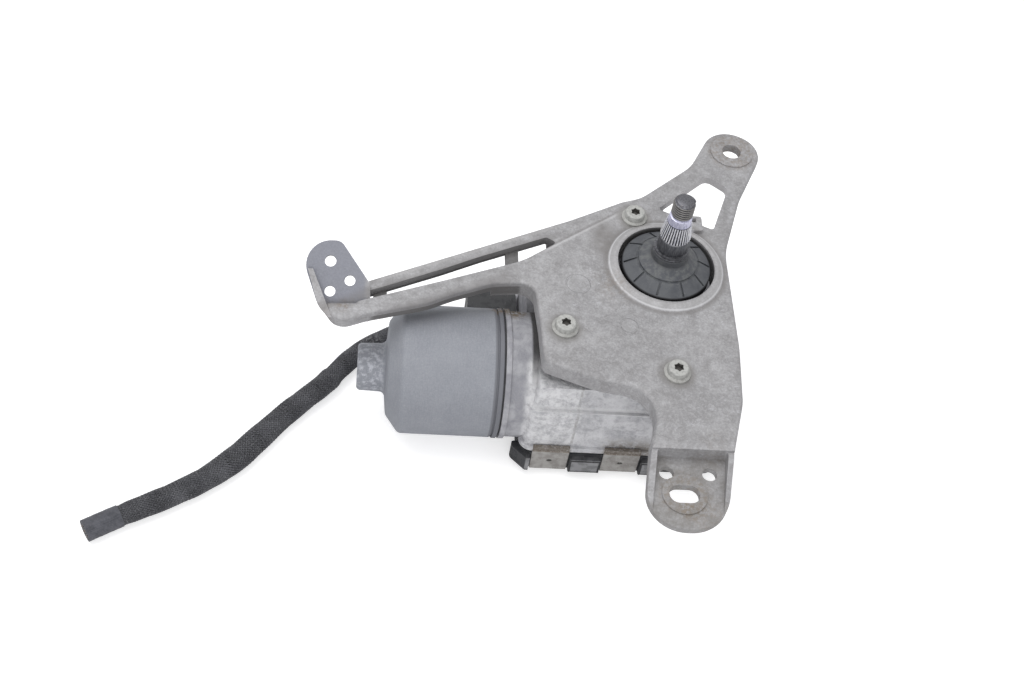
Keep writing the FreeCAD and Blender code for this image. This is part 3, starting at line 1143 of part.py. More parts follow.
def make_motor():
    inner = d.yoke_radius - d.yoke_wall
    groove_end = d.yoke_open_end - d.yoke_flange_width
    flange_step = groove_end - d.yoke_groove
    wall = d.yoke_wall
    turned("motor_yoke", [
        (d.yoke_boss_end, 0), (d.yoke_boss_end, d.yoke_boss_radius, 1.8),
        (d.yoke_dome_end - 1, d.yoke_boss_radius + 0.4, 2.5), (d.yoke_dome_end, d.yoke_dome_radius, 4),
        (d.yoke_shoulder, d.yoke_radius, 3), (flange_step, d.yoke_radius),
        (flange_step, d.yoke_radius - 0.8), (groove_end, d.yoke_radius - 0.8),
        (groove_end, d.yoke_flange_radius, 0.5), (d.yoke_open_end, d.yoke_flange_radius, 0.5),
        (d.yoke_open_end, inner), (d.yoke_shoulder + 1, inner, 2),
        (d.yoke_dome_end + wall, d.yoke_dome_radius - 0.8, 3),
        (d.yoke_dome_end + wall, d.rear_bush_radius),
        (d.yoke_boss_end + wall, d.rear_bush_radius), (d.yoke_boss_end + wall, 0)])
    turned("rear_bush", ring_profile(d.yoke_boss_end + wall + 0.5, d.yoke_dome_end + wall - 0.5,
                                     d.shaft_radius + d.running_play, d.rear_bush_radius, 1.2))
    turned("yoke_seal", ring_profile(d.yoke_open_end, d.yoke_open_end + d.seal_width,
                                     d.neck_inner_radius + 1, d.neck_radius))
    turned("bearing_outer_race", ring_profile(d.bearing_rear, d.bearing_rear + d.bearing_width,
                                              d.bearing_radius - d.bearing_race, d.bearing_radius, 0.4))
    turned("bearing_inner_race", ring_profile(d.bearing_rear, d.bearing_rear + d.bearing_width,
                                              d.shaft_radius, d.shaft_radius + d.bearing_race))
    turned("bearing_shield", ring_profile(d.bearing_rear + 0.5, d.bearing_rear + d.bearing_width - 0.5,
                                          d.shaft_radius + d.bearing_race + d.running_play,
                                          d.bearing_radius - d.bearing_race))
    turned("front_bush", ring_profile(d.front_bush_rear, d.front_bush_front,
                                      d.shaft_radius + d.running_play, d.front_bush_radius, 0.4))
    turned("thrust_pad", [(d.shaft_front + d.seat_play, 0), (d.shaft_front + d.seat_play, d.shaft_radius),
                          (d.block_right - d.case_wall, d.shaft_radius), (d.block_right - d.case_wall, 0)])

    magnets = motor_body("field_magnets")
    middle = (d.core_rear + d.core_front) / 2
    arc_shape = sketch_on(magnets, "Segment", "XY_Plane")
    outline(arc_shape, ring_profile(middle - d.magnet_length / 2, middle + d.magnet_length / 2,
                                    d.magnet_inner_radius, inner - d.seat_play))
    segment = magnets.newObject("PartDesign::Revolution", "SegmentTurn")
    segment.Profile = arc_shape
    segment.ReferenceAxis = (arc_shape, ["H_Axis"])
    segment.Midplane = True
    segment.setExpression("Angle", d.magnet_span.text)
    magnets.AllowCompound = True
    polar(magnets, segment, 4, "X_Axis")

    holder = motor_body("brush_holder")
    plate = sketch_on(holder, "Plate")
    outline(plate, ring_profile(d.holder_rear, d.holder_front, d.commutator_radius + 2,
                                d.neck_inner_radius - d.seat_play))
    spin(holder, plate)
    box = sketch_on(holder, "BrushBox", "YZ_Plane", out=d.holder_rear)
    box_half = d.brush_size / 2 + 1.5
    inner_half = d.brush_size / 2 + d.brush_play
    start = d.commutator_radius + 2
    end = d.neck_inner_radius - 2
    outline(box, box_corners(start, end, -box_half, box_half))
    box_pad = pad(holder, box, d.brush_size + 1.6, up=False)
    polar(holder, box_pad, 2, "X_Axis")
    tunnel = sketch_on(holder, "BrushTunnel", "YZ_Plane", out=d.holder_rear - d.brush_play)
    outline(tunnel, box_corners(start - 1, end + 0.5, -inner_half, inner_half))
    tunnel_cut = pocket(holder, tunnel, d.brush_size + d.brush_play * 2, up=False)
    polar(holder, tunnel_cut, 2, "X_Axis")

    brushes = motor_body("carbon_brushes")
    brushes.AllowCompound = True
    brush = sketch_on(brushes, "Brush", "YZ_Plane", out=d.holder_rear - d.brush_play * 2)
    first = d.commutator_radius + d.brush_play
    outline(brush, box_corners(first, first + d.brush_length, -d.brush_size / 2, d.brush_size / 2))
    polar(brushes, pad(brushes, brush, d.brush_size, up=False), 2, "X_Axis")
    springs = motor_body("brush_springs")
    springs.AllowCompound = True
    coil = sketch_on(springs, "Coil", "XY_Plane")
    coil_x = d.holder_rear - d.brush_play * 2 - d.brush_size / 2
    outline(coil, box_corners(coil_x - 1.6, coil_x + 1.6, first + d.brush_length, end + 0.4))
    polar(springs, pad(springs, coil, d.brush_size * 0.64, both=True), 2, "X_Axis")


def make_armature():
    core = motor_body("armature_core")
    length = d.core_front - d.core_rear
    disc = sketch_on(core, "Lamination", "YZ_Plane", out=d.core_rear)
    circle(disc, 0, 0, d.core_radius)
    circle(disc, 0, 0, d.shaft_radius)
    pad(core, disc, length)
    slot = sketch_on(core, "Slot", "YZ_Plane", out=d.core_front)
    outline(slot, box_corners(d.core_radius * 0.5, d.core_radius + 1, -1.1, 1.1))
    polar(core, pocket(core, slot), d.core_slots, "X_Axis")
    windings = motor_body("windings")
    windings.AllowCompound = True
    reach = d.winding_reach
    rear = sketch_on(windings, "Heads")
    outline(rear, ring_profile(d.core_rear - reach, d.core_rear, d.shaft_radius + 2, d.core_radius - 2.4, 2.4))
    outline(rear, ring_profile(d.core_front, d.core_front + reach, d.shaft_radius + 2, d.core_radius - 2.4, 2.4))
    spin(windings, rear)
    commutator = turned("commutator", ring_profile(d.commutator_rear, d.commutator_front, d.shaft_radius,
                                                   d.commutator_radius, 0.4))
    groove = sketch_on(commutator, "Mica", "YZ_Plane", out=d.commutator_front)
    outline(groove, box_corners(d.commutator_radius - 0.8, d.commutator_radius + 1, -0.25, 0.25))
    polar(commutator, pocket(commutator, groove), d.core_slots, "X_Axis")


# Electronics, screws and cable

def make_electronics():
    board = new_body("circuit_board")
    sheet = sketch_on(board, "Board", out=d.board_height)
    outline(sheet, case_corners(-d.cover_wall - 1.5))
    pad(board, sheet, d.board_thickness)
    parts = new_body("board_parts")
    parts.AllowCompound = True
    top = d.board_height + d.board_thickness
    chips = sketch_on(parts, "Chips", out=top)
    outline(chips, box_corners(-8, 6, -6, 8))
    outline(chips, box_corners(d.case_left + 8, d.case_left + 20, -4, 10))
    pad(parts, chips, 2.4)
    tall = sketch_on(parts, "Capacitors", out=top)
    for x in (-40, -27, -14):
        circle(tall, x, d.case_front + 11, 5)
    pad(parts, tall, 16)


def make_bracket_screws():
    group = doc.addObject("Part::Compound", "bracket_screws")
    group.Label = "bracket_screws"
    screws = []
    top = d.plate_top
    for name, x, y in SCREWS:
        body = doc.addObject("PartDesign::Body", name)
        profile = sketch_on(body, name + "Profile", "XZ_Plane")
        outline(profile, [
            (0, top - d.screw_length), (d.screw_radius - 0.6, top - d.screw_length),
            (d.screw_radius, top - d.screw_length + 0.8), (d.screw_radius, top),
            (d.screw_flange_radius, top), (d.screw_flange_radius, top + 1),
            (d.screw_head_radius, top + 1.6), (d.screw_head_radius - 0.4, top + d.screw_head_height, 0.8),
            (0, top + d.screw_head_height)])
        spin(body, profile, "V_Axis")
        socket = sketch_on(body, name + "Socket", out=top + d.screw_head_height)
        reach = d.screw_head_radius * 0.5
        lobes = []
        for i in range(12):
            angle = Size(i * 30, str(i * 30))
            distance = reach if i % 2 else reach * 0.74
            lobes.append((cosine(angle) * distance, sine(angle) * distance, 0.25))
        outline(socket, lobes)
        pocket(body, socket, d.screw_head_height * 0.5)
        body.setExpression("Placement.Base.x", getattr(d, name + "_x").text)
        body.setExpression("Placement.Base.y", getattr(d, name + "_y").text)
        screws.append(body)
    group.Links = screws
    group.setExpression("Placement.Base.x", d.spindle_x.text)
    group.setExpression("Placement.Base.y", d.spindle_y.text)
    return group


def make_cable():
    outlet_end = d.case_left - d.outlet_length
    grommet = new_body("cable_grommet", y=d.cable_y, z=d.cable_height)
    turned("cable_grommet", [
        (outlet_end - d.grommet_length, d.sleeve_radius), (outlet_end, d.sleeve_radius),
        (outlet_end, d.grommet_radius, 0.8), (outlet_end - 4, d.grommet_radius, 2),
        (outlet_end - d.grommet_length, d.sleeve_radius + 1, 0.4)], body=grommet)
    route = [Vector(*point) for point in HARNESS_ROUTE]
    edges = []
    here = route[0]
    for before, corner, after in zip(route, route[1:], route[2:]):
        into = (corner - before).normalize()
        out = (after - corner).normalize()
        half_turn = into.getAngle(out) / 2
        reach = 0.45 * min((corner - before).Length, (after - corner).Length)
        start = corner - into * reach
        end = corner + out * reach
        radius = reach / math.tan(half_turn)
        print("harness bend radius %.1f mm" % radius)
        centre = corner + (out - into).normalize() * (radius / math.cos(half_turn))
        middle = centre + (corner - centre).normalize() * radius
        edges.append(Part.LineSegment(here, start).toShape())
        edges.append(Part.Arc(start, middle, end).toShape())
        here = end
    edges.append(Part.LineSegment(here, route[-1]).toShape())
    path = Part.Wire(edges)
    rim = Part.Circle(route[0], route[0] - route[1], d.sleeve_radius.value).toShape()
    tube = path.makePipeShell([Part.Wire([rim])], True, False)
    section = math.pi * d.sleeve_radius.value ** 2
    print("harness length %.1f mm, volume %.4f of section times length"
          % (path.Length, tube.Volume / (section * path.Length)))
    sleeve = doc.addObject("Part::Feature", "harness_sleeve")
    sleeve.Label = "harness_sleeve"
    sleeve.Shape = tube
    sleeve.setExpression("Placement.Base.x", d.spindle_x.text)
    sleeve.setExpression("Placement.Base.y", d.spindle_y.text)
    return sleeve


def check_and_write():
    """Recompute, refuse a failed feature or a bad solid, and write one file for each piece."""
    doc.recompute()
    failed = [item.Name for item in doc.Objects if "Invalid" in item.State or "Error" in item.State]
    if failed:
        raise RuntimeError("features that failed: " + ", ".join(failed))
    for body in [item for item in doc.Objects if item.TypeId == "PartDesign::Body"]:
        volume = None
        for feature in body.Group:
            if feature.TypeId in ("PartDesign::Pad", "PartDesign::Revolution", "PartDesign::AdditiveHelix"):
                if volume is not None and feature.Shape.Volume <= volume:
                    raise RuntimeError(feature.Name + " adds nothing")
            if feature.TypeId in ("PartDesign::Pocket", "PartDesign::Groove"):
                if feature.Shape.Volume >= volume:
                    raise RuntimeError(feature.Name + " cuts nothing")
            if feature.TypeId != "Sketcher::SketchObject":
                volume = feature.Shape.Volume
    inner = []
    for group in [item for item in doc.Objects if item.TypeId == "Part::Compound"]:
        inner.extend(item.Name for item in group.Links)
    os.makedirs("parts", exist_ok=True)
    kinds = ("PartDesign::Body", "Part::Compound", "Part::Feature")
    for item in doc.Objects:
        if item.TypeId in kinds and item.Name not in inner:
            if item.Shape.isNull() or not item.Shape.isValid() or not item.Shape.Solids:
                raise RuntimeError(item.Label + " is not a valid solid")
            item.Shape.exportStep("parts/%s.step" % item.Label)
            print("%-20s %d solids, %.0f mm3" % (item.Label, len(item.Shape.Solids), item.Shape.Volume))


make_bracket()
make_gear_housing()
make_bottom_cover()
make_gasket()
make_cover_clips()
make_output_spindle()
make_spindle_small_parts()
make_spindle_cap()
make_worm_wheel()
make_wheel_insert()
make_sensor_magnet()
make_worm_shaft()
make_motor()
make_armature()
make_electronics()
make_bracket_screws()
make_cable()
check_and_write()
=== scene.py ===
import math

import bpy
from mathutils import Matrix, Vector


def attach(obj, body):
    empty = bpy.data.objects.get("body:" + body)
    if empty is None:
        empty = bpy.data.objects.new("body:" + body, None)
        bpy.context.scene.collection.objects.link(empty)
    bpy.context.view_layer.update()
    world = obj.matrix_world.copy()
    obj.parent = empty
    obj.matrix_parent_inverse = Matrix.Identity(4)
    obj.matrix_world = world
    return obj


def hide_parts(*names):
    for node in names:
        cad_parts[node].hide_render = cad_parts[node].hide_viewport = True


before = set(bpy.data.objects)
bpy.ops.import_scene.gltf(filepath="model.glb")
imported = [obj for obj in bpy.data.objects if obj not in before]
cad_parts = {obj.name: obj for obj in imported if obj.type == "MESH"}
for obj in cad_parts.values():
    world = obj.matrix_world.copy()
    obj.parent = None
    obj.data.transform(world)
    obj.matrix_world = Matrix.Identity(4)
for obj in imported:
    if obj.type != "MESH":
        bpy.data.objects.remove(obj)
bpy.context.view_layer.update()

MM = 0.001

# Places in millimetres, in the frame's own directions
SPINDLE = (54.5, 21.25)
SCREWS = ((42.0, 50.85), (5.7, -18.35), (53.9, -40.15))
FRONT_CLIPS_X = (5.7, 38.8)

# The knurl on the spindle's cone: radius and height at its foot and its top, and how fast it narrows
KNURL_FOOT = (6.62, 92.9)
KNURL_TOP = (5.40, 101.8)
KNURL_SLOPE = 0.137

# Control points of the lead's line, from the grommet to the cut end
LEAD_ROUTE = [
    (-31.0, 32.25, 8.5), (-42.5, 32.25, 8.5), (-54.1, 30.25, 7.2), (-64.7, 26.25, 6.0),
    (-74.0, 21.05, 5.3), (-81.7, 15.05, 5.2), (-87.9, 8.65, 5.15), (-93.5, 0.85, 5.15),
    (-100.9, -9.15, 5.15), (-111.7, -20.15, 5.15), (-124.7, -35.95, 5.15), (-136.1, -51.15, 5.15),
    (-150.1, -64.15, 5.15), (-167.9, -75.15, 5.15), (-183.9, -83.55, 5.15), (-196.9, -91.65, 5.15),
]


# ---------------------------------------------------------------- camera

def set_camera():
    """Camera at the photograph's angle, solved from the circles and parallel edges in it."""
    lens = bpy.data.cameras.new("photo_view")
    lens.lens = 50.0
    lens.sensor_width = 36.0
    lens.clip_start = 0.01
    lens.clip_end = 20.0
    camera = bpy.data.objects.new("photo_view", lens)
    right = Vector((0.99293, -0.02419, 0.11620))
    up = Vector((-0.05293, 0.78604, 0.61590))
    back = Vector((-0.10624, -0.61770, 0.77920))
    camera.matrix_world = Matrix.Translation(Vector((-83.82, -409.03, 553.27)) * MM) @ Matrix(
        (right, up, back)).transposed().to_4x4()
    bpy.context.scene.collection.objects.link(camera)
    bpy.context.scene.camera = camera


# ---------------------------------------------------------------- helpers

def link_nodes(tree, socket, value):
    """Wire an output into a socket or set the socket's own value; None leaves it as it is."""
    if value is None:
        return
    if isinstance(value, bpy.types.NodeSocket):
        tree.links.new(value, socket)
    else:
        socket.default_value = value


class Nodes:
    """What a material's tree and a Geometry Nodes tree have in common."""

    def node(self, kind, inputs=None, **settings):
        made = self.tree.nodes.new(kind)
        for key, value in settings.items():
            setattr(made, key, value)
        for key, value in (inputs or {}).items():
            link_nodes(self.tree, made.inputs[key], value)
        return made

    def calc(self, operation, *values):
        return self.node("ShaderNodeMath", dict(enumerate(values)), operation=operation).outputs[0]

    def times(self, a, b):
        return self.calc("MULTIPLY", a, b)


class Finish(Nodes):
    """A procedural material. Its patterns are laid out in object coordinates, in millimetres."""

    def __init__(self, name):
        self.material = bpy.data.materials.new(name)
        self.material.use_nodes = True
        self.tree = self.material.node_tree
        self.shader = self.tree.nodes["Principled BSDF"]
        coords = self.node("ShaderNodeTexCoord")
        self.place = self.node("ShaderNodeVectorMath", {0: coords.outputs["Object"], "Scale": 1000.0},
                               operation="SCALE").outputs[0]
        self.facing = coords.outputs["Normal"]
        self.normal = None

    def stretched(self, x, y, z, place=None):
        return self.node("ShaderNodeVectorMath", {0: place or self.place, 1: (x, y, z)},
                         operation="MULTIPLY").outputs[0]

    def axis(self, index, of=None):
        return self.node("ShaderNodeSeparateXYZ", {0: of or self.place}).outputs[index]

    def cloud(self, size, detail=4.0, rough=0.55, place=None, twist=0.0):
        """Soft noise whose patches are about size millimetres across."""
        made = self.node("ShaderNodeTexNoise", {"Vector": place or self.place, "Scale": 1.0 / size,
                                                "Detail": detail, "Roughness": rough, "Distortion": twist})
        return made.outputs[0]

    def grains(self, size, jitter):
        """Distance from the nearest of many points, size millimetres apart."""
        return self.node("ShaderNodeTexVoronoi", {"Vector": self.place, "Scale": 1.0 / size,
                                                  "Randomness": jitter}).outputs["Distance"]

    def between(self, value, low, high, start=0.0, end=1.0):
        """Value from low to high, mapped to start to end and held there."""
        made = self.node("ShaderNodeMapRange", {0: value, 1: low, 2: high, 3: start, 4: end})
        made.interpolation_type = "SMOOTHSTEP"
        return made.outputs[0]

    def band(self, value, low, full, fade, high):
        """1 where the value lies from full to fade, 0 below low and above high."""
        return self.times(self.between(value, low, full), self.between(value, high, fade))

    def from_upright(self, x, y):
        """Distance in millimetres from the upright line through (x, y)."""
        return self.node("ShaderNodeVectorMath", {0: self.stretched(1, 1, 0), 1: (x, y, 0.0)},
                         operation="DISTANCE").outputs["Value"]

    def toward(self, direction):
        """Position along a direction, in millimetres."""
        return self.node("ShaderNodeVectorMath", {0: self.place, 1: direction},
                         operation="DOT_PRODUCT").outputs["Value"]

    def near(self, point, inner, outer, squeeze=(1.0, 1.0, 1.0)):
        """1 within inner millimetres of a point, 0 beyond outer."""
        offset = self.node("ShaderNodeVectorMath", {0: self.place, 1: point}, operation="SUBTRACT").outputs[0]
        far = self.node("ShaderNodeVectorMath", {0: self.stretched(*squeeze, place=offset)},
                        operation="LENGTH").outputs["Value"]
        return self.between(far, inner, outer, 1.0, 0.0)

    def blend(self, share, below, above):
        """The colour below, covered by the share of the colour above."""
        made = self.node("ShaderNodeMix", data_type="RGBA")
        for socket, value in zip((made.inputs[0], made.inputs[6], made.inputs[7]), (share, below, above)):
            link_nodes(self.tree, socket, value if not isinstance(value, tuple) else (*value, 1.0))
        return made.outputs[2]

    def relief(self, height, depth, strength):
        """Bump of about depth millimetres, laid over what is there already."""
        made = self.node("ShaderNodeBump", {"Height": height, "Distance": depth * MM, "Strength": strength,
                                            "Normal": self.normal})
        self.normal = made.outputs[0]

    def done(self, colour, rough, metal=0.0, **sockets):
        link_nodes(self.tree, self.shader.inputs["Base Color"], colour)
        link_nodes(self.tree, self.shader.inputs["Roughness"], rough)
        link_nodes(self.tree, self.shader.inputs["Metallic"], metal)
        link_nodes(self.tree, self.shader.inputs["Normal"], self.normal)
        for name, value in sockets.items():
            self.shader.inputs[name.replace("_", " ")].default_value = value
        return self.material


class Tree(Nodes):
    """A Geometry Nodes tree with named inputs."""

    def __init__(self, name, **inputs):
        self.tree = bpy.data.node_groups.new(name, "GeometryNodeTree")
        face = self.tree.interface
        face.new_socket("Geometry", in_out="INPUT", socket_type="NodeSocketGeometry")
        self.values = []
        for label, value in inputs.items():
            kind = ("NodeSocketInt" if isinstance(value, int)
                    else "NodeSocketMaterial" if isinstance(value, bpy.types.Material) else "NodeSocketFloat")
            socket = face.new_socket(label, in_out="INPUT", socket_type=kind)
            self.values.append((socket.identifier, value))
        face.new_socket("Geometry", in_out="OUTPUT", socket_type="NodeSocketGeometry")
        self.start = self.node("NodeGroupInput")
        self.end = self.node("NodeGroupOutput")

    def given(self, label):
        return self.start.outputs[label]

    def vector(self, operation, *values, scale=None):
        made = self.node("ShaderNodeVectorMath", dict(enumerate(values)), operation=operation)
        if scale is not None:
            link_nodes(self.tree, made.inputs["Scale"], scale)
        return made.outputs[0]

    def xyz(self, x, y, z):
        return self.node("ShaderNodeCombineXYZ", {0: x, 1: y, 2: z}).outputs[0]

    def circle(self, steps, radius):
        return self.node("GeometryNodeCurvePrimitiveCircle", {"Resolution": steps, "Radius": radius}).outputs[0]

    def sweep(self, curve, section, scale=None):
        """Solid with the section all along the curve and closed ends."""
        return self.node("GeometryNodeCurveToMesh", {"Curve": curve, "Profile Curve": section, "Scale": scale,
                                                     "Fill Caps": True}).outputs[0]

    def finish(self, geometry, material):
        real = self.node("GeometryNodeRealizeInstances", {0: geometry}).outputs[0]
        coated = self.node("GeometryNodeSetMaterial", {"Geometry": real, "Material": material})
        self.tree.links.new(coated.outputs[0], self.end.inputs[0])

    def grow(self, name, seed, place=None):
        """Run the tree on the seed object and keep the result as a plain mesh object."""
        modifier = seed.modifiers.new("grow", "NODES")
        modifier.node_group = self.tree
        for identifier, value in self.values:
            modifier[identifier] = value
        bpy.context.view_layer.update()
        graph = bpy.context.evaluated_depsgraph_get()
        mesh = bpy.data.meshes.new_from_object(seed.evaluated_get(graph))
        seed.modifiers.remove(modifier)
        if place is not None:
            mesh.transform(place)
        return add_piece(name, mesh)


def add_piece(name, mesh, material=None):
    mesh.name = name
    if material is not None:
        mesh.materials.clear()
        mesh.materials.append(material)
    piece = bpy.data.objects.new(name, mesh)
    bpy.context.scene.collection.objects.link(piece)
    return piece


def seed_object(points=((0, 0, 0),), edges=()):
    """An object for a tree to start from: a single point, or points joined by edges."""
    mesh = bpy.data.meshes.new("seed")
    mesh.from_pydata(points, edges, [])
    seed = bpy.data.objects.new("seed", mesh)
    bpy.context.scene.collection.objects.link(seed)
    return seed


def shade_smooth(piece, sharp=35.0):
    for face in piece.data.polygons:
        face.use_smooth = True
    piece.data.set_sharp_from_angle(angle=math.radians(sharp))


def turned(name, profile, centre, material):
    """Turn a profile of (radius, height) pairs in millimetres about the vertical through centre."""
    steps = 96
    points, faces, rings = [], [], []
    for radius, height in profile:
        if radius == 0:
            rings.append([len(points)])
            points.append((centre[0], centre[1], height))
            continue
        rings.append(list(range(len(points), len(points) + steps)))
        for k in range(steps):
            turn = 2 * math.pi * k / steps
            points.append((centre[0] + radius * math.cos(turn), centre[1] + radius * math.sin(turn), height))
    for low, high in zip(rings, rings[1:]):
        for k in range(steps):
            after = (k + 1) % steps
            if len(low) == 1:
                faces.append((low[0], high[after], high[k]))
            elif len(high) == 1:
                faces.append((low[k], low[after], high[0]))
            else:
                faces.append((low[k], low[after], high[after], high[k]))
    mesh = bpy.data.meshes.new(name)
    mesh.from_pydata([Vector(p) * MM for p in points], [], faces)
    piece = add_piece(name, mesh, material)
    shade_smooth(piece)
    return piece


def dress(material, *names):
    for name in names:
        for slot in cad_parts[name].material_slots:
            slot.material = material


# ---------------------------------------------------------------- finishes

def weathered_casting():
    """Bracket: warm grey cast aluminium, grainy and clouded by oxide, with brown stains at its seats."""
    f = Finish("weathered_casting")
    broad = f.cloud(20, detail=3)
    patch = f.cloud(5.5, detail=6, rough=0.7)
    grain = f.cloud(0.95, detail=4, rough=0.75)
    coarse = f.cloud(1.9, detail=4, rough=0.7)
    colour = f.blend(f.between(broad, 0.34, 0.66), (0.325, 0.322, 0.332), (0.405, 0.402, 0.414))
    colour = f.blend(f.between(patch, 0.36, 0.74, 0.0, 0.62), colour, (0.245, 0.238, 0.240))
    bloom = f.times(f.between(f.cloud(2.6, detail=6, rough=0.78, twist=0.5), 0.52, 0.74),
                    f.between(f.cloud(26, detail=2), 0.42, 0.64))
    colour = f.blend(f.times(bloom, 0.85), colour, (0.600, 0.602, 0.645))
    colour = f.blend(f.between(grain, 0.36, 0.64, 0.34, 0.0), colour, (0.185, 0.180, 0.182))
    colour = f.blend(f.between(coarse, 0.46, 0.74, 0.0, 0.32), colour, (0.520, 0.520, 0.540))
    # collar: painted highlight on its slope and its lip, and painted shade, mottled, where it meets the plate
    away = f.from_upright(*SPINDLE)
    # painted highlight on the collar's slope
    flank_highlight = f.band(away, 22.8, 23.8, 25.6, 26.8)
    colour = f.blend(f.times(flank_highlight, 0.28), colour, (0.520, 0.515, 0.520))
    # painted highlight along the collar's lip
    lip_highlight = f.band(away, 25.9, 26.3, 26.6, 27.0)
    colour = f.blend(f.times(lip_highlight, 0.60), colour, (0.640, 0.640, 0.660))
    # painted shade in the groove at the collar's foot, mottled
    ring = f.band(away, 26.9, 27.4, 28.0, 30.0)
    colour = f.blend(f.times(ring, f.between(coarse, 0.35, 0.6, 0.30, 0.60)), colour, (0.170, 0.160, 0.155))
    # painted shade on the inner wall of the collar's opening
    mouth_shade = f.times(f.between(away, 22.9, 22.5), f.between(f.axis(2), 72.8, 71.0))
    colour = f.blend(f.times(mouth_shade, 0.9), colour, (0.030, 0.029, 0.030))
    # painted shade, cool and smooth, on the far foot's floor, told by its slope
    slope = (0.0, -0.588, 0.809)
    level = -16.75 * slope[1] + 63.0 * slope[2]
    off_floor = f.calc("ABSOLUTE", f.calc("SUBTRACT", f.toward(slope), level))
    floor = f.times(f.between(off_floor, 0.1, 0.5, 1.0, 0.0), f.between(f.axis(0), -81.0, -84.0))
    far_floor_shade = f.blend(f.between(patch, 0.3, 0.7), (0.215, 0.222, 0.258), (0.262, 0.270, 0.312))
    far_floor_shade = f.blend(f.between(grain, 0.36, 0.64, 0.30, 0.0), far_floor_shade, (0.165, 0.168, 0.195))
    colour = f.blend(f.times(floor, 0.92), colour, far_floor_shade)
    # brown stains
    stain = f.cloud(1.8, detail=5, rough=0.7)
    for point, inner, outer, depth in (
            ((53.2, -97.3, 63.0), 8.6, 13.5, 0.60), ((54.5, -105.0, 63.0), 1.5, 6.5, 0.95),
            ((62.0, -108.0, 63.0), 1.0, 13.0, 0.45), ((-99.5, -13.0, 66.0), 0.5, 8.0, 0.85),
            ((-92.0, -12.0, 70.0), 0.5, 6.0, 0.65), ((95.1, 99.8, 71.0), 9.0, 15.0, 0.45),
            ((73.0, 108.0, 71.0), 1.0, 9.0, 0.35), ((30.0, 8.0, 71.0), 1.0, 15.0, 0.30),
            ((66.0, -75.0, 63.0), 1.0, 12.0, 0.45)):
        share = f.times(f.near(point, inner, outer), f.between(stain, 0.40, 0.62, 0.0, depth))
        colour = f.blend(share, colour, (0.195, 0.150, 0.108))
    # painted shade on the flanks of the two bars, and a painted highlight on the far bar's crest
    across = f.toward((-0.431, 0.902, 0.0))
    left = f.between(f.axis(0), 12.0, 0.0)
    far_side = f.band(across, 28.5, 30.0, 31.0, 34.5)
    near_side = f.times(f.between(across, 21.5, 17.5), f.between(f.axis(0), -12.0, -24.0))
    shade = f.times(f.calc("MAXIMUM", f.times(far_side, left), near_side), f.between(coarse, 0.3, 0.65, 0.35, 0.65))
    colour = f.blend(shade, colour, (0.185, 0.178, 0.178))
    # painted highlight along the far bar's crest
    crest = f.times(f.times(f.between(across, 34.5, 36.0), left), f.between(f.axis(0), -80.0, -74.0, 0.0, 0.30))
    colour = f.blend(crest, colour, (0.480, 0.470, 0.470))
    # painted shade and painted highlight along a low step in the plate, from the bars' fork to the collar, and a
    # painted shadow beside the collar
    step = f.toward((-0.586, 0.810, 0.0))
    span = f.band(f.axis(0), -6.0, 2.0, 31.0, 37.0)
    # painted shade along the step
    step_shade = f.times(f.band(step, 22.9, 23.4, 23.6, 24.9), span)
    colour = f.blend(f.times(step_shade, 0.55), colour, (0.200, 0.192, 0.190))
    # painted highlight along the step's edge
    step_highlight = f.times(f.band(step, 21.2, 22.4, 22.6, 23.1), span)
    colour = f.blend(f.times(step_highlight, 0.50), colour, (0.580, 0.575, 0.590))
    # painted shadow beside the collar
    collar_shadow = f.times(f.near((27.0, 36.0, 71.0), 3.0, 14.0, squeeze=(1.5, 0.8, 1.0)), f.between(away, 26.6, 27.6))
    colour = f.blend(f.times(collar_shadow, f.between(coarse, 0.3, 0.6, 0.35, 0.75)), colour, (0.190, 0.180, 0.175))
    # dirt round the screws, and the near foot's floor made darker and browner
    for x, y in SCREWS:
        there = f.from_upright(x, y)
        colour = f.blend(f.times(f.between(there, 10.0, 6.6), f.between(coarse, 0.3, 0.6, 0.30, 0.60)),
                         colour, (0.205, 0.195, 0.185))
    foot = f.times(f.between(f.axis(2), 64.6, 63.8), f.between(f.axis(1), -72.0, -76.0))
    colour = f.blend(f.times(foot, f.between(patch, 0.34, 0.66, 0.20, 0.60)), colour, (0.230, 0.218, 0.205))
    # walls: painted shade all over, painted light on the walls in the ear's window, painted shade inside the rim
    # and between the bars' webs
    wall = f.between(f.axis(2, of=f.facing), 0.2, 0.75, 1.0, 0.0)
    colour = f.blend(f.times(wall, 0.06), colour, (0.135, 0.132, 0.135))
    # painted light on the walls round the ear's window
    window_light = f.times(wall, f.near((75.0, 68.0, 68.0), 15.0, 21.0))
    colour = f.blend(f.times(window_light, 0.8), colour, (0.560, 0.550, 0.560))
    # painted shade on the walls inside the rim
    inside_shade = f.times(wall, f.times(f.between(f.axis(1), 2.0, 20.0, 0.0, 0.45), f.between(f.axis(1), 58.0, 46.0)))
    inside_shade = f.times(inside_shade, f.between(f.axis(0), 70.0, 40.0))
    colour = f.blend(inside_shade, colour, (0.120, 0.115, 0.115))
    # painted shade between the bars' webs
    web_shade = f.times(f.band(f.axis(2), 60.5, 64.0, 67.7, 68.0), f.band(f.axis(0), -81.0, -78.0, -14.0, -12.0))
    colour = f.blend(f.times(web_shade, 0.7), colour, (0.085, 0.082, 0.080))
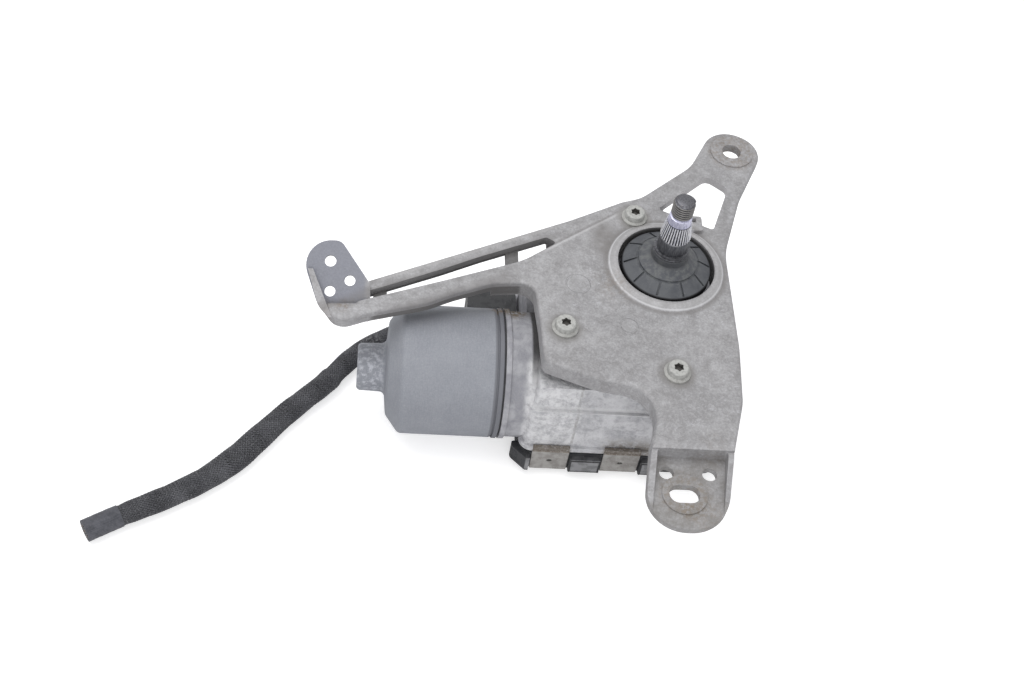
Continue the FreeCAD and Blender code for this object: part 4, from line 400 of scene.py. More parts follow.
    # two round marks of the casting's ejector pins
    for x, y, radius in ((12.8, 7.55, 5.5), (34.5, -15.25, 4.0)):
        there = f.from_upright(x, y)
        edge = f.band(there, radius - 0.7, radius - 0.2, radius, radius + 0.5)
        f.relief(f.times(edge, f.between(f.axis(2), 70.5, 70.9)), 0.35, 0.8)
        colour = f.blend(f.times(f.between(there, radius + 0.3, radius - 0.5), 0.14), colour, (0.44, 0.44, 0.45))
    f.relief(f.cloud(6.0, detail=3), 0.45, 0.4)
    f.relief(f.cloud(0.7, detail=4, rough=0.75), 0.14, 0.6)
    f.relief(f.between(f.cloud(1.7, detail=2), 0.58, 0.70), 0.14, 0.5)
    rough = f.between(patch, 0.3, 0.7, 0.55, 0.76)
    return f.done(colour, rough, 0.22)


def corroded_case():
    """Gear case: aluminium under a pale crust of oxide, thickest on the block beside the motor."""
    f = Finish("corroded_case")
    broad = f.cloud(8, detail=5, rough=0.65, twist=0.4)
    fine = f.cloud(1.1, detail=6, rough=0.78)
    lumps = f.cloud(2.6, detail=5, rough=0.7)
    colour = f.blend(f.between(broad, 0.38, 0.64), (0.225, 0.226, 0.255), (0.345, 0.345, 0.372))
    left = f.between(f.axis(0), 14.0, 17.0, 1.0, 0.70)
    heap = f.calc("ADD", f.times(lumps, 0.55), f.times(fine, 0.45))
    crust = f.times(f.between(f.calc("ADD", f.times(heap, 0.7), f.times(broad, 0.3)), 0.38, 0.56, 0.42, 1.0), left)
    low = f.between(f.axis(1), -23.0, -29.0)
    beside = f.between(f.axis(0), -10.5, -7.0)
    crust = f.times(crust, f.calc("MULTIPLY_ADD", f.times(low, beside), 0.82, 0.18))
    colour = f.blend(crust, colour, (0.700, 0.700, 0.715))
    pits = f.between(fine, 0.60, 0.70)
    colour = f.blend(f.times(pits, 0.50), colour, (0.185, 0.180, 0.178))
    # groove in the block's front, and the brown line above the clips
    seam = f.times(f.between(f.calc("ABSOLUTE", f.calc("SUBTRACT", f.axis(0), 14.6)), 0.9, 0.3), low)
    colour = f.blend(f.times(seam, f.between(lumps, 0.38, 0.62, 0.0, 0.6)), colour, (0.230, 0.220, 0.215))
    grime = f.times(f.between(f.axis(2), 30.0, 19.0), f.between(f.axis(0), 26.0, 34.0))
    colour = f.blend(f.times(grime, f.between(lumps, 0.38, 0.56, 0.1, 0.8)), colour, (0.150, 0.130, 0.108))
    # brown lump on the neck, painted light on the ledge at the top of the block, and painted shade in the gap under
    # the plate's edge
    clod = f.times(f.near((-15.0, 3.0, 52.0), 3.0, 10.0), f.between(f.cloud(1.6, detail=5), 0.36, 0.52))
    colour = f.blend(f.times(clod, 0.9), colour, (0.150, 0.110, 0.065))
    # painted light over the ledge and the shade above it
    ledge_light = f.times(f.band(f.axis(2), 43.0, 43.8, 45.2, 47.0), f.times(low, beside))
    colour = f.blend(f.times(ledge_light, 0.55), colour, (0.700, 0.700, 0.710))
    # painted shade in the gap under the plate's edge
    gap_shade = f.times(f.between(f.axis(0), -7.6, -6.4), f.between(f.axis(2), 44.0, 50.0))
    gap_shade = f.times(gap_shade, f.between(f.axis(1), -42.0, -20.0))
    colour = f.blend(f.times(gap_shade, 0.92), colour, (0.020, 0.019, 0.018))
    f.relief(f.calc("ADD", f.times(crust, 0.7), f.times(fine, 0.6)), 0.60, 0.9)
    f.relief(f.cloud(0.5, detail=3, rough=0.7), 0.14, 0.7)
    return f.done(colour, f.between(fine, 0.3, 0.7, 0.65, 0.88), 0.12)


def drawn_can():
    """Motor can: dull blue-grey zinc with fine streaks round it."""
    f = Finish("drawn_can")
    streaks = f.cloud(0.9, detail=5, rough=0.75, place=f.stretched(3.0, 0.22, 0.22))
    broad = f.cloud(11, detail=4, rough=0.6)
    speck = f.cloud(0.75, detail=4, rough=0.75)
    colour = f.blend(f.between(streaks, 0.30, 0.70), (0.232, 0.243, 0.272), (0.292, 0.303, 0.333))
    colour = f.blend(f.between(broad, 0.40, 0.68, 0.0, 0.35), colour, (0.330, 0.340, 0.370))
    colour = f.blend(f.between(speck, 0.34, 0.64, 0.28, 0.0), colour, (0.155, 0.163, 0.190))
    colour = f.blend(f.between(speck, 0.60, 0.74, 0.0, 0.35), colour, (0.420, 0.430, 0.455))
    # darker beside the flange, brown dirt on top of it and white oxide on the boss
    edge = f.times(f.between(f.axis(0), -24.0, -23.2), f.between(f.axis(0), -18.0, -20.0, 0.5, 1.0))
    colour = f.blend(f.times(edge, 0.75), colour, (0.120, 0.122, 0.138))
    clod = f.times(f.near((-20.0, 4.0, 53.0), 2.0, 7.0), f.between(f.cloud(1.6, detail=5), 0.38, 0.54))
    colour = f.blend(f.times(clod, 0.85), colour, (0.170, 0.120, 0.070))
    pale = f.times(f.between(f.axis(0), -70.0, -76.0), f.between(f.cloud(2.4, detail=5, rough=0.7), 0.46, 0.62))
    colour = f.blend(f.times(pale, 0.7), colour, (0.520, 0.530, 0.580))
    dark = f.times(f.between(f.axis(0), -70.0, -76.0), f.between(f.cloud(1.5, detail=5, rough=0.7), 0.60, 0.68))
    colour = f.blend(f.times(dark, 0.6), colour, (0.120, 0.120, 0.130))
    f.relief(f.cloud(9, detail=2), 0.30, 0.4)
    f.relief(streaks, 0.06, 0.5)
    f.relief(speck, 0.05, 0.5)
    return f.done(colour, f.between(streaks, 0.3, 0.7, 0.58, 0.72), 0.18)


def dusty_tray():
    """Bottom cover: black plastic, dulled by dust that lies on upward faces."""
    f = Finish("cover_plastic")
    lies = f.between(f.axis(2, of=f.facing), 0.3, 0.95)
    film = f.between(f.cloud(5, detail=5, rough=0.65), 0.32, 0.72)
    share = f.times(f.calc("ADD", f.times(lies, 0.7), 0.3), f.times(film, 0.35))
    share = f.times(share, f.between(f.axis(0), -8.0, -6.0, 0.10, 1.0))
    colour = f.blend(share, (0.022, 0.023, 0.026), (0.205, 0.205, 0.215))
    face = f.times(f.between(f.axis(1), -49.3, -49.7), f.between(f.axis(2), 4.0, 5.5))
    colour = f.blend(f.times(face, f.between(film, 0.2, 0.6, 0.55, 0.95)), colour, (0.240, 0.241, 0.250))
    scratch = f.between(f.cloud(0.6, detail=3, rough=0.7, place=f.stretched(1.0, 0.25, 1.0)), 0.64, 0.72)
    colour = f.blend(f.times(scratch, 0.25), colour, (0.30, 0.30, 0.31))
    f.relief(f.cloud(0.35, detail=2), 0.04, 0.4)
    return f.done(colour, f.between(film, 0.3, 0.7, 0.42, 0.68))


def dusty_cap():
    """Splash cap: charcoal plastic with a bloom of dust, painted shade at its rim, and darker round its hub."""
    f = Finish("dusty_cap")
    film = f.cloud(6, detail=5, rough=0.65)
    fine = f.cloud(0.8, detail=3, rough=0.7)
    colour = f.blend(f.between(film, 0.32, 0.68), (0.054, 0.058, 0.068), (0.096, 0.101, 0.110))
    dust = f.times(f.between(f.cloud(3.0, detail=5, rough=0.7), 0.42, 0.66), f.between(f.axis(2), 74.5, 77.5))
    colour = f.blend(f.times(dust, 0.45), colour, (0.185, 0.190, 0.180))
    colour = f.blend(f.between(fine, 0.60, 0.74, 0.0, 0.35), colour, (0.26, 0.26, 0.27))
    away = f.from_upright(*SPINDLE)
    # painted shade of the gap round the cap's rim
    rim_shade = f.between(away, 20.0, 20.7)
    colour = f.blend(rim_shade, colour, (0.012, 0.012, 0.014))
    hub = f.between(away, 10.0, 8.4)
    colour = f.blend(f.times(hub, 0.6), colour, (0.045, 0.047, 0.052))
    f.relief(fine, 0.05, 0.4)
    return f.done(colour, f.between(film, 0.3, 0.7, 0.50, 0.72))


def spindle_steel():
    """Spindle: dark oiled thread, blue-silver neck, bright knurl with painted shade in its valleys, dark plain
    shaft.
    """
    f = Finish("spindle_steel")
    up = f.axis(2)
    fine = f.cloud(0.5, detail=3, rough=0.7)
    streak = f.cloud(1.0, detail=3, place=f.stretched(2.4, 2.4, 0.25))
    dark = f.blend(f.between(fine, 0.35, 0.65), (0.075, 0.075, 0.085), (0.175, 0.175, 0.190))
    bright = f.blend(f.between(streak, 0.35, 0.65), (0.62, 0.63, 0.70), (0.95, 0.95, 0.97))
    away = f.from_upright(*SPINDLE)
    # painted shade in the knurl's valleys; the crests keep the bright knurl colour
    valley = f.calc("SUBTRACT", KNURL_FOOT[0], f.times(f.calc("SUBTRACT", up, KNURL_FOOT[1]), KNURL_SLOPE))
    crest = f.between(f.calc("SUBTRACT", away, valley), -0.05, 0.22)
    bright = f.blend(crest, (0.045, 0.046, 0.055), bright)
    knurled = f.band(up, 92.0, 93.0, 101.8, 102.4)
    colour = f.blend(knurled, dark, bright)
    neck = f.band(up, 101.8, 102.4, 106.0, 106.6)
    colour = f.blend(neck, colour, f.blend(f.between(streak, 0.35, 0.65), (0.44, 0.44, 0.58), (0.70, 0.70, 0.84)))
    low = f.between(up, 92.6, 92.0)
    shaft = f.blend(f.between(streak, 0.3, 0.7), (0.055, 0.057, 0.066), (0.135, 0.138, 0.150))
    colour = f.blend(low, colour, shaft)
    worn = f.times(f.between(away, 4.5, 4.9), f.between(up, 106.4, 106.9))
    colour = f.blend(f.times(worn, 0.7), colour, (0.300, 0.285, 0.260))
    rust = f.times(f.between(f.cloud(1.7, detail=5, rough=0.7), 0.60, 0.72), f.between(up, 106.5, 107.5))
    colour = f.blend(f.times(rust, 0.35), colour, (0.20, 0.13, 0.08))
    f.relief(fine, 0.05, 0.4)
    return f.done(colour, f.between(fine, 0.3, 0.7, 0.30, 0.50), 0.8)


def zinc_screw():
    """Screws and bearing shield: pale greenish zinc, with painted shade in the recess."""
    f = Finish("zinc_screw")
    patch = f.cloud(1.6, detail=5, rough=0.7)
    colour = f.blend(f.between(patch, 0.34, 0.62), (0.330, 0.333, 0.322), (0.470, 0.472, 0.458))
    down = f.between(f.axis(2), 72.0, 74.0, 0.25, 0.0)
    colour = f.blend(down, colour, (0.200, 0.192, 0.180))
    for x, y in SCREWS:
        # painted shade in each screw's recess
        recess_shade = f.times(f.near((x, y, 74.0), 2.3, 2.7, squeeze=(1, 1, 0.2)), f.between(f.axis(2), 75.3, 74.9))
        colour = f.blend(f.times(recess_shade, 0.85), colour, (0.045, 0.040, 0.036))
    colour = f.blend(f.between(f.cloud(0.6, detail=3), 0.60, 0.70, 0.0, 0.5), colour, (0.20, 0.185, 0.16))
    f.relief(f.cloud(0.45, detail=3, rough=0.7), 0.08, 0.5)
    return f.done(colour, f.between(patch, 0.3, 0.7, 0.50, 0.74), 0.30)


def rusty_clip():
    """Cover clips: brown-grey spring steel with rust along the hooks."""
    f = Finish("rusty_clip")
    patch = f.cloud(3.5, detail=5, rough=0.65)
    colour = f.blend(f.between(patch, 0.36, 0.64), (0.265, 0.252, 0.240), (0.400, 0.388, 0.375))
    bloom = f.between(f.cloud(1.2, detail=5, rough=0.7), 0.34, 0.56, 0.35, 1.0)
    rust = f.times(f.between(f.axis(2), 16.2, 17.2), bloom)
    colour = f.blend(f.times(rust, 0.75), colour, (0.115, 0.088, 0.062))
    for x in FRONT_CLIPS_X:
        slit = f.near((x, -48.0, 10.0), 0.75, 1.15, squeeze=(0.75, 0.5, 1.1))
        colour = f.blend(f.times(slit, 0.9), colour, (0.022, 0.020, 0.018))
    colour = f.blend(f.between(f.cloud(0.7, detail=3), 0.60, 0.70, 0.0, 0.45), colour, (0.50, 0.49, 0.47))
    f.relief(f.cloud(0.8, detail=4, rough=0.7), 0.08, 0.5)
    return f.done(colour, f.between(patch, 0.3, 0.7, 0.45, 0.68), 0.55)


def worked_metal(name, dark, light, rough=(0.25, 0.45), metal=0.9, along=(1, 1, 1), grain=1.2):
    """Clean turned, pressed or drawn metal with fine marks along one direction."""
    f = Finish(name)
    marks = f.cloud(grain, detail=4, rough=0.65, place=f.stretched(*along))
    colour = f.blend(f.between(marks, 0.32, 0.68), dark, light)
    colour = f.blend(f.between(f.cloud(6, detail=3), 0.5, 0.72, 0.0, 0.35), colour, dark)
    f.relief(marks, 0.03, 0.5)
    return f.done(colour, f.between(marks, 0.3, 0.7, *rough), metal)


def moulded(name, dark, light, rough=(0.38, 0.55), grain=1.0):
    """Stuff without the shine of metal: plastic, rubber, ferrite, carbon, board."""
    f = Finish(name)
    patch = f.cloud(5, detail=4, rough=0.6)
    fine = f.cloud(grain, detail=3, rough=0.65)
    colour = f.blend(f.between(patch, 0.32, 0.68), dark, light)
    colour = f.blend(f.between(fine, 0.58, 0.72, 0.0, 0.4), colour, dark)
    f.relief(fine, 0.03, 0.5)
    return f.done(colour, f.between(fine, 0.3, 0.7, *rough))


def braid_yarn():
    """Sleeve yarn: black-grey, worn lighter on its crowns and greyed by dust in patches."""
    f = Finish("braid_yarn")
    dust = f.cloud(11, detail=4, rough=0.6)
    fuzz = f.cloud(0.5, detail=3, rough=0.75)
    colour = f.blend(f.between(dust, 0.34, 0.68), (0.040, 0.041, 0.047), (0.082, 0.084, 0.094))
    colour = f.blend(f.between(fuzz, 0.50, 0.68, 0.0, 0.80), colour, (0.24, 0.24, 0.26))
    pale = f.times(f.near((-77.5, 17.0, 9.0), 1.5, 7.0), f.between(f.cloud(1.5, detail=3), 0.46, 0.58))
    colour = f.blend(f.times(pale, 0.6), colour, (0.34, 0.34, 0.35))
    f.relief(fuzz, 0.10, 0.7)
    return f.done(colour, 0.82, 0.0, Sheen_Weight=0.12, Sheen_Roughness=0.5)


def worn_tape():
    """Cloth tape round the lead's cut end: lighter, rubbed smooth, with a fine weave."""
    f = Finish("worn_tape")
    rub = f.cloud(4, detail=5, rough=0.65)
    weave = f.grains(0.55, jitter=0.3)
    colour = f.blend(f.between(rub, 0.32, 0.66), (0.042, 0.044, 0.054), (0.086, 0.088, 0.104))
    colour = f.blend(f.between(weave, 0.25, 0.6, 0.30, 0.0), colour, (0.14, 0.14, 0.155))
    f.relief(weave, 0.08, 0.6)
    return f.done(colour, 0.78, 0.0, Sheen_Weight=0.10)


# ---------------------------------------------------------------- the lead

def route_curve():
    """The lead's line as one smooth spline through the control points."""
    line = bpy.data.curves.new("lead_line", "CURVE")
    line.dimensions = "3D"
    line.resolution_u = 16
    spline = line.splines.new("NURBS")
    spline.points.add(len(LEAD_ROUTE) - 1)
    for point, (x, y, z) in zip(spline.points, LEAD_ROUTE):
        point.co = (x * MM, y * MM, z * MM, 1.0)
    spline.order_u = 3
    spline.use_endpoint_u = True
    curve = bpy.data.objects.new("lead_line", line)
    bpy.context.scene.collection.objects.link(curve)
    return curve


def line_points(curve):
    """The spline's own points, in metres, as Blender evaluates it."""
    bpy.context.view_layer.update()
    graph = bpy.context.evaluated_depsgraph_get()
    mesh = bpy.data.meshes.new_from_object(curve.evaluated_get(graph))
    points = [v.co.copy() for v in mesh.vertices]
    bpy.data.meshes.remove(mesh)
    return points


def braid_tree(yarn):
    """Braided sleeve round a curve: two sets of yarns wound against each other, over and under, on a tube."""
    t = Tree("braided_sleeve", Yarns=24, Steps=560, Turns=5.6, Radius=4.75 * MM, Yarn_radius=0.42 * MM,
             Lift=0.16 * MM, Flat=0.84, Tube_steps=260, Yarn=yarn)
    route = t.given("Geometry")
    line = t.node("GeometryNodeCurvePrimitiveLine", {"Start": (0, 0, 0), "End": (0, 0, 1)}).outputs[0]

    def position():
        return t.node("ShaderNodeSeparateXYZ", {0: t.node("GeometryNodeInputPosition").outputs[0]}).outputs

    def swell(along):
        """Radius along the sleeve: slim at the motor, a fold a third of the way, full in the middle."""
        curve = t.node("ShaderNodeFloatCurve", {"Factor": 1.0, "Value": along})
        points = curve.mapping.curves[0].points
        for place, level in ((0.10, 0.36), (0.22, 0.40), (0.30, 0.60), (0.355, 0.56), (0.372, 1.05),
                             (0.40, 0.80), (0.50, 1.00), (0.60, 1.35), (0.66, 1.45), (0.74, 1.05),
                             (0.82, 0.85), (0.90, 0.76), (0.925, 0.50)):
            points.new(place, level)
        points[0].location = (0.0, 0.38)
        points[-1].location = (1.0, 0.44)
        curve.mapping.use_clip = False
        curve.mapping.update()
        factor = t.calc("ADD", 0.80, t.times(curve.outputs[0], 0.27))
        return t.times(t.given("Radius"), factor)

    def round_the_line(along, turn, radius):
        at = t.node("GeometryNodeSampleCurve", {"Curves": route, "Factor": along}, mode="FACTOR")
        side = t.vector("CROSS_PRODUCT", at.outputs["Tangent"], at.outputs["Normal"])
        out = t.vector("ADD", t.vector("SCALE", at.outputs["Normal"], scale=t.calc("COSINE", turn)),
                       t.vector("SCALE", side, scale=t.calc("SINE", turn)))
        flat = t.vector("MULTIPLY", out, t.xyz(1.0, 1.0, t.given("Flat")))
        return t.vector("ADD", at.outputs["Position"], t.vector("SCALE", flat, scale=radius)), out

    yarns = t.given("Yarns")
    fine = t.node("GeometryNodeResampleCurve", {"Curve": line, "Count": t.given("Steps")}).outputs[0]
    many = t.node("GeometryNodeDuplicateElements", {"Geometry": fine, "Amount": t.times(yarns, 2)},
                  domain="SPLINE")
    index = many.outputs["Duplicate Index"]
    parity = t.calc("FLOORED_MODULO", index, 2)
    hand = t.calc("SUBTRACT", t.times(parity, 2), 1)
    along = position()[2]
    wound = t.times(t.times(along, t.given("Turns")), 2 * math.pi)
    start = t.times(t.calc("DIVIDE", t.calc("FLOOR", t.calc("DIVIDE", index, 2)), yarns), 2 * math.pi)
    turn = t.calc("ADD", start, t.times(hand, wound))
    crossing = t.times(t.times(along, t.given("Turns")), t.times(yarns, 2 * math.pi))
    wave = t.times(t.times(t.calc("COSINE", crossing), hand), t.given("Lift"))
    place, out = round_the_line(along, turn, t.calc("ADD", swell(along), wave))
    laid = t.node("GeometryNodeSetPosition", {"Geometry": many.outputs[0], "Position": place})
    framed = t.node("GeometryNodeSetCurveNormal", {"Curve": laid.outputs[0], "Normal": out}, mode="FREE")
    wide = t.node("GeometryNodeTransform", {"Geometry": t.circle(3, t.given("Yarn_radius")),
                                            "Scale": (0.75, 1.15, 1.0)})
    strands = t.sweep(framed.outputs[0], wide.outputs[0])
    coarse = t.node("GeometryNodeResampleCurve", {"Curve": line, "Count": t.given("Tube_steps")}).outputs[0]
    height = position()[2]
    at = t.node("GeometryNodeSampleCurve", {"Curves": route, "Factor": height}, mode="FACTOR")
    kept = t.node("GeometryNodeCaptureAttribute", {"Geometry": coarse})
    kept.capture_items.new("FLOAT", "along")
    kept.capture_items.new("FLOAT", "level")
    t.tree.links.new(height, kept.inputs["along"])
    t.tree.links.new(t.node("ShaderNodeSeparateXYZ", {0: at.outputs["Position"]}).outputs[2], kept.inputs["level"])
    body = t.node("GeometryNodeSetPosition", {"Geometry": kept.outputs[0],
                                              "Position": at.outputs["Position"]}).outputs[0]
    girth = t.calc("SUBTRACT", swell(kept.outputs["along"]), t.times(t.given("Lift"), 1.2))
    tube = t.sweep(body, t.circle(28, 1.0), girth)
    spot = position()
    drawn = t.times(t.calc("SUBTRACT", spot[2], kept.outputs["level"]), t.given("Flat"))
    tube = t.node("GeometryNodeSetPosition", {"Geometry": tube, "Position": t.xyz(
        spot[0], spot[1], t.calc("ADD", kept.outputs["level"], drawn))}).outputs[0]
    joined = t.node("GeometryNodeJoinGeometry")
    t.tree.links.new(strands, joined.inputs[0])
    t.tree.links.new(tube, joined.inputs[0])
    t.finish(joined.outputs[0], t.given("Yarn"))
    return t


def tape_tree(cloth):
    """Tape round the last part of the lead, in three turns that lie a little over each other."""
    t = Tree("lead_tape", Start=0.925, Radius=4.98 * MM, Step=0.07 * MM, Turns=3, Tape=cloth)
    last = t.node("GeometryNodeTrimCurve", {0: t.given("Geometry"), 2: t.given("Start"), 3: 1.0}, mode="FACTOR")
    laid = t.node("GeometryNodeResampleCurve", {"Curve": last.outputs[0], "Count": 61}).outputs[0]
    along = t.node("GeometryNodeSplineParameter").outputs["Factor"]
    turn = t.calc("FRACT", t.times(along, t.times(t.given("Turns"), 0.999)))
    thick = t.calc("ADD", t.given("Radius"), t.times(turn, t.given("Step")))
    t.finish(t.sweep(laid, t.circle(44, 1.0), thick), t.given("Tape"))
    return t


def wire_tree(name, stuff, thick, depth):
    """Seven round wire ends: one in the middle of a ring of six."""
    t = Tree(name, Count=6, Spread=2.75 * MM, Thick=thick * MM, Depth=depth * MM, Stuff=stuff)
    ring = t.node("GeometryNodeMeshCircle", {"Vertices": t.given("Count"), "Radius": t.given("Spread")}).outputs[0]
    middle = t.node("GeometryNodeMeshLine", {"Count": 1}).outputs[0]
    spots = t.node("GeometryNodeJoinGeometry")
    t.tree.links.new(ring, spots.inputs[0])
    t.tree.links.new(middle, spots.inputs[0])
    wire = t.node("GeometryNodeMeshCylinder", {"Vertices": 20, "Radius": t.given("Thick"),
                                               "Depth": t.given("Depth")}).outputs[0]
    ends = t.node("GeometryNodeInstanceOnPoints", {"Points": spots.outputs[0], "Instance": wire}).outputs[0]
    t.finish(ends, t.given("Stuff"))
    return t


def make_lead():
    curve = route_curve()
    path = line_points(curve)
    sleeve = braid_tree(braid_yarn()).grow("lead_sleeve", curve)
    tape = tape_tree(worn_tape()).grow("lead_tape", curve)
    shade_smooth(tape, 50.0)
    bpy.data.objects.remove(curve)
    seed = seed_object()
    way_out = (path[-1] - path[-2]).normalized()
    place = Matrix.Translation(path[-1]) @ way_out.to_track_quat("Z", "Y").to_matrix().to_4x4()
    cover = moulded("wire_cover", (0.030, 0.031, 0.034), (0.070, 0.072, 0.078))
    copper = worked_metal("wire_copper", (0.060, 0.034, 0.024), (0.130, 0.070, 0.045), metal=0.6)
    wires = wire_tree("lead_wires", cover, thick=1.25, depth=0.2)
    cores = wire_tree("lead_cores", copper, thick=0.62, depth=0.35)
    ends = [wires.grow("lead_wires", seed, place), cores.grow("lead_cores", seed, place)]
    bpy.data.objects.remove(seed)
    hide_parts("harness_sleeve")
    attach(sleeve, "case")
    for piece, slot in zip([tape] + ends, ("sleeve_fabric", "black_plastic", "copper")):
        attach(piece, "case")


# ---------------------------------------------------------------- the spindle

def knurl_tree(material):
    """Sharp ridges round the spindle's cone."""
    t = Tree("spindle_knurl", Ridges=32, Foot_radius=KNURL_FOOT[0] * MM, Top_radius=KNURL_TOP[0] * MM,
             Foot=KNURL_FOOT[1] * MM, Top=KNURL_TOP[1] * MM, Ridge=0.46 * MM, Steel=material)
    ridge = t.node("GeometryNodeCurvePrimitiveLine", {
        "Start": t.xyz(t.given("Foot_radius"), 0.0, t.given("Foot")),
        "End": t.xyz(t.given("Top_radius"), 0.0, t.given("Top"))}).outputs[0]
    solid = t.sweep(ridge, t.circle(4, t.given("Ridge")))
    single = t.node("GeometryNodeGeometryToInstance", {0: solid}).outputs[0]
    many = t.node("GeometryNodeDuplicateElements", {"Geometry": single, "Amount": t.given("Ridges")},
                  domain="INSTANCE")
    turn = t.times(t.calc("DIVIDE", many.outputs["Duplicate Index"], t.given("Ridges")), 2 * math.pi)
    spun = t.node("GeometryNodeRotateInstances", {"Instances": many.outputs[0], "Rotation": t.xyz(0.0, 0.0, turn),
                                                  "Local Space": False}).outputs[0]
    t.finish(spun, t.given("Steel"))
    return t


def thread_tree(material):
    """Screw thread: one ridge wound up the spindle's tip."""
    t = Tree("spindle_thread", Turns=6.0, Pitch=1.25 * MM, Core=4.30 * MM, Foot=106.9 * MM, Depth=0.66 * MM,
             Steel=material)
    helix = t.node("GeometryNodeCurveSpiral", {
        "Resolution": 64, "Rotations": t.given("Turns"), "Start Radius": t.given("Core"),
        "End Radius": t.given("Core"), "Height": t.times(t.given("Turns"), t.given("Pitch"))}).outputs[0]
    foot = t.xyz(0.0, 0.0, t.given("Foot"))
    raised = t.node("GeometryNodeTransform", {"Geometry": helix, "Translation": foot}).outputs[0]
    level = t.node("GeometryNodeSetCurveNormal", {"Curve": raised}, mode="Z_UP").outputs[0]
    t.finish(t.sweep(level, t.circle(4, t.given("Depth"))), t.given("Steel"))
    return t


def make_spindle():
    steel = spindle_steel()
    groove = 84.2  # lower edge of the retaining ring's groove
    core = turned("spindle_shaft", [
        (0, 21.0), (6.5, 21.0), (7.0, 21.5), (7.0, groove), (6.4, groove), (6.4, groove + 1.2), (7.0, groove + 1.2),
        (7.0, 92.0), (6.75, 92.4), (6.45, 92.9), (5.25, 101.9), (5.4, 102.0), (5.4, 102.4), (5.12, 105.6),
        (4.9, 105.8), (4.55, 105.9), (4.35, 106.6), (4.35, 114.2), (3.9, 114.8), (3.6, 115.0), (0, 115.0)],
        SPINDLE, steel)
    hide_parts("output_spindle")
    seed = seed_object()
    place = Matrix.Translation(Vector((SPINDLE[0], SPINDLE[1], 0.0)) * MM)
    knurl = knurl_tree(steel).grow("spindle_knurl", seed, place)
    thread = thread_tree(steel).grow("spindle_thread", seed, place)
    bpy.data.objects.remove(seed)
    for piece in (core, knurl, thread):
        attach(piece, "output")


# ---------------------------------------------------------------- cover

def rib_tree(name, thick, stuff):
    """Round ribs laid along every edge of the seed."""
    t = Tree(name, Thick=thick * MM, Stuff=stuff)
    lines = t.node("GeometryNodeMeshToCurve", {0: t.given("Geometry")}).outputs[0]
    t.finish(t.sweep(lines, t.circle(12, t.given("Thick"))), t.given("Stuff"))
    return t


def make_ribs(name, lines, thick, stuff):
    """A rib of round section along each line of points, given in millimetres."""
    points, edges = [], []
    for line in lines:
        edges += [(len(points) + k, len(points) + k + 1) for k in range(len(line) - 1)]
        points += [Vector(p) * MM for p in line]
    seed = seed_object(points, edges)
    ribs = rib_tree(name, thick, stuff).grow(name, seed)
    bpy.data.objects.remove(seed)
    shade_smooth(ribs, 60.0)
    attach(ribs, "case")


def make_cover_details(clip, rubber):
    """Stiffening bead across every clip, and the raised frame on the cover's lugs."""
    beads = [[(x - 8.2, -47.85, 17.3), (x + 8.2, -47.85, 17.3)] for x in FRONT_CLIPS_X]
    beads += [[(90.6, y - 8.2, 17.3), (90.6, y + 8.2, 17.3)] for y in (-12.25, 19.25)]
    beads.append([(46.3, 57.35, 17.3), (62.7, 57.35, 17.3)])
    make_ribs("clip_beads", beads, 0.42, clip)
    frames = []
    for left, right in ((15.5, 29.0), (48.6, 55.6)):
        frames.append([(left, -49.65, 4.5), (left, -49.65, 12.9), (right, -49.65, 12.9), (right, -49.65, 4.5)])
    make_ribs("lug_frames", frames, 0.55, rubber)


# ---------------------------------------------------------------- room

def make_room():
    """White floor and air, soft lamps."""
    finish = bpy.data.materials.new("studio_floor")
    finish.use_nodes = True
    nodes, links = finish.node_tree.nodes, finish.node_tree.links
    shader = nodes["Principled BSDF"]
    shader.inputs["Base Color"].default_value = (0.86, 0.86, 0.87, 1)
    shader.inputs["Roughness"].default_value = 0.9
    shader.inputs["Specular IOR Level"].default_value = 0.0
    shader.inputs["Emission Color"].default_value = (1, 1, 1, 1)
    ray = nodes.new("ShaderNodeLightPath")
    lift = nodes.new("ShaderNodeMath")
    lift.operation = "MULTIPLY"
    lift.inputs[1].default_value = 0.50
    links.new(ray.outputs["Is Camera Ray"], lift.inputs[0])
    links.new(lift.outputs[0], shader.inputs["Emission Strength"])
    mesh = bpy.data.meshes.new("floor")
    level = -0.3 * MM
    mesh.from_pydata([(-4, -4, level), (4, -4, level), (4, 4, level), (-4, 4, level)], [], [(0, 1, 2, 3)])
    floor = add_piece("floor", mesh, finish)

    world = bpy.data.worlds.new("studio_air")
    bpy.context.scene.world = world
    world.use_nodes = True
    nodes, links = world.node_tree.nodes, world.node_tree.links
    background = nodes["Background"]
    ray = nodes.new("ShaderNodeLightPath")
    seen = nodes.new("ShaderNodeMath")
    seen.operation = "MAXIMUM"
    links.new(ray.outputs["Is Camera Ray"], seen.inputs[0])
    both = nodes.new("ShaderNodeMath")
    both.operation = "MAXIMUM"
    links.new(ray.outputs["Is Glossy Ray"], both.inputs[0])
    links.new(ray.outputs["Is Transmission Ray"], both.inputs[1])
    links.new(both.outputs[0], seen.inputs[1])
    level = nodes.new("ShaderNodeMapRange")
    links.new(seen.outputs[0], level.inputs[0])
    level.inputs[3].default_value = 0.62
    level.inputs[4].default_value = 1.0
    links.new(level.outputs[0], background.inputs["Strength"])
    background.inputs["Color"].default_value = (1, 1, 1, 1)

    for name, place, size, power in (("soft_top", (-0.30, 0.20, 1.15), 0.9, 6.5),
                                     ("soft_front", (-0.15, -1.35, 0.75), 0.9, 7.0)):
        lamp = bpy.data.lights.new(name, "AREA")
        lamp.shape = "SQUARE"
        lamp.size = size
        lamp.energy = power
        holder = bpy.data.objects.new(name, lamp)
        aim = Vector((0, 0, 0.04)) - Vector(place)
        holder.matrix_world = Matrix.Translation(place) @ aim.to_track_quat("-Z", "Y").to_matrix().to_4x4()
        bpy.context.scene.collection.objects.link(holder)


# ---------------------------------------------------------------- the work

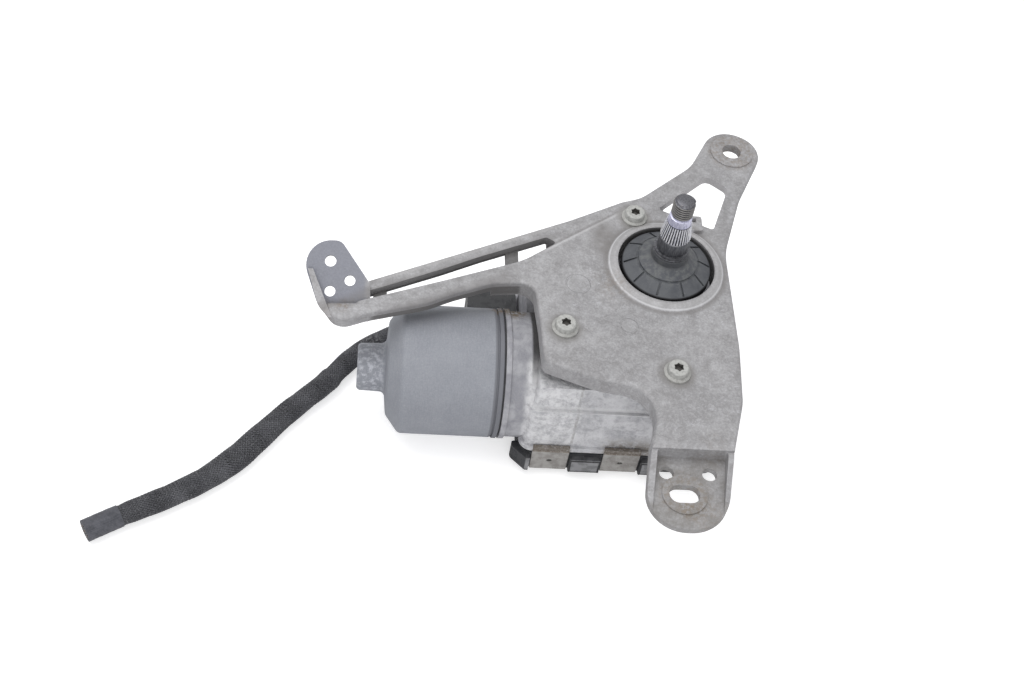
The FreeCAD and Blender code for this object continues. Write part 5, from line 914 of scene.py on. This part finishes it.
set_camera()
make_lead()
make_spindle()

steel = worked_metal("ground_steel", (0.30, 0.30, 0.32), (0.56, 0.56, 0.58))
rubber = moulded("seal_rubber", (0.018, 0.018, 0.020), (0.040, 0.040, 0.043), rough=(0.62, 0.82), grain=0.7)
bronze = worked_metal("bush_bronze", (0.28, 0.16, 0.07), (0.48, 0.30, 0.14), metal=0.85, grain=0.8)

dress(weathered_casting(), "bracket")
dress(corroded_case(), "gear_housing")
dress(drawn_can(), "motor_yoke")
dress(dusty_tray(), "bottom_cover")
dress(rubber, "cover_gasket", "spindle_seal", "yoke_seal", "cable_grommet")
clip_finish = rusty_clip()
dress(clip_finish, "cover_clips")
make_cover_details(clip_finish, rubber)
dress(dusty_cap(), "spindle_cap")
dress(zinc_screw(), "bracket_screws", "bearing_shield")
dress(worked_metal("ring_steel", (0.075, 0.076, 0.085), (0.175, 0.177, 0.190), rough=(0.40, 0.55), metal=0.75),
      "spindle_washer", "retaining_ring")
dress(steel, "thrust_washer", "bearing_outer_race", "bearing_inner_race", "brush_springs", "wheel_insert")
dress(worked_metal("worm_steel", (0.34, 0.34, 0.36), (0.60, 0.60, 0.62), along=(0.2, 1, 1)), "worm_shaft")
dress(worked_metal("laminations", (0.12, 0.12, 0.13), (0.30, 0.30, 0.32), rough=(0.4, 0.6), along=(3, 0.15, 0.15)),
      "armature_core")
dress(worked_metal("winding_copper", (0.36, 0.13, 0.05), (0.70, 0.31, 0.13), rough=(0.25, 0.4), grain=0.6,
                   along=(1, 2, 0.5)), "windings")
dress(worked_metal("commutator_copper", (0.42, 0.20, 0.10), (0.72, 0.40, 0.22), along=(3, 0.3, 0.3)), "commutator")
dress(bronze, "rear_bush", "front_bush", "spindle_bush_lower", "spindle_bush_upper")
dress(moulded("wheel_plastic", (0.62, 0.60, 0.52), (0.76, 0.74, 0.66)), "worm_wheel")
dress(moulded("holder_plastic", (0.030, 0.031, 0.034), (0.060, 0.061, 0.066)), "brush_holder", "thrust_pad")
dress(moulded("ferrite", (0.035, 0.035, 0.038), (0.070, 0.070, 0.074), rough=(0.55, 0.75), grain=0.5),
      "field_magnets", "sensor_magnet")
dress(moulded("brush_carbon", (0.025, 0.025, 0.026), (0.060, 0.060, 0.062), rough=(0.5, 0.7), grain=0.4),
      "carbon_brushes")
dress(moulded("board_green", (0.012, 0.080, 0.035), (0.022, 0.125, 0.055), rough=(0.28, 0.42)), "circuit_board")
dress(moulded("component_black", (0.016, 0.016, 0.018), (0.040, 0.040, 0.044)), "board_parts")

make_room()
bpy.context.scene.view_settings.view_transform = "Standard"
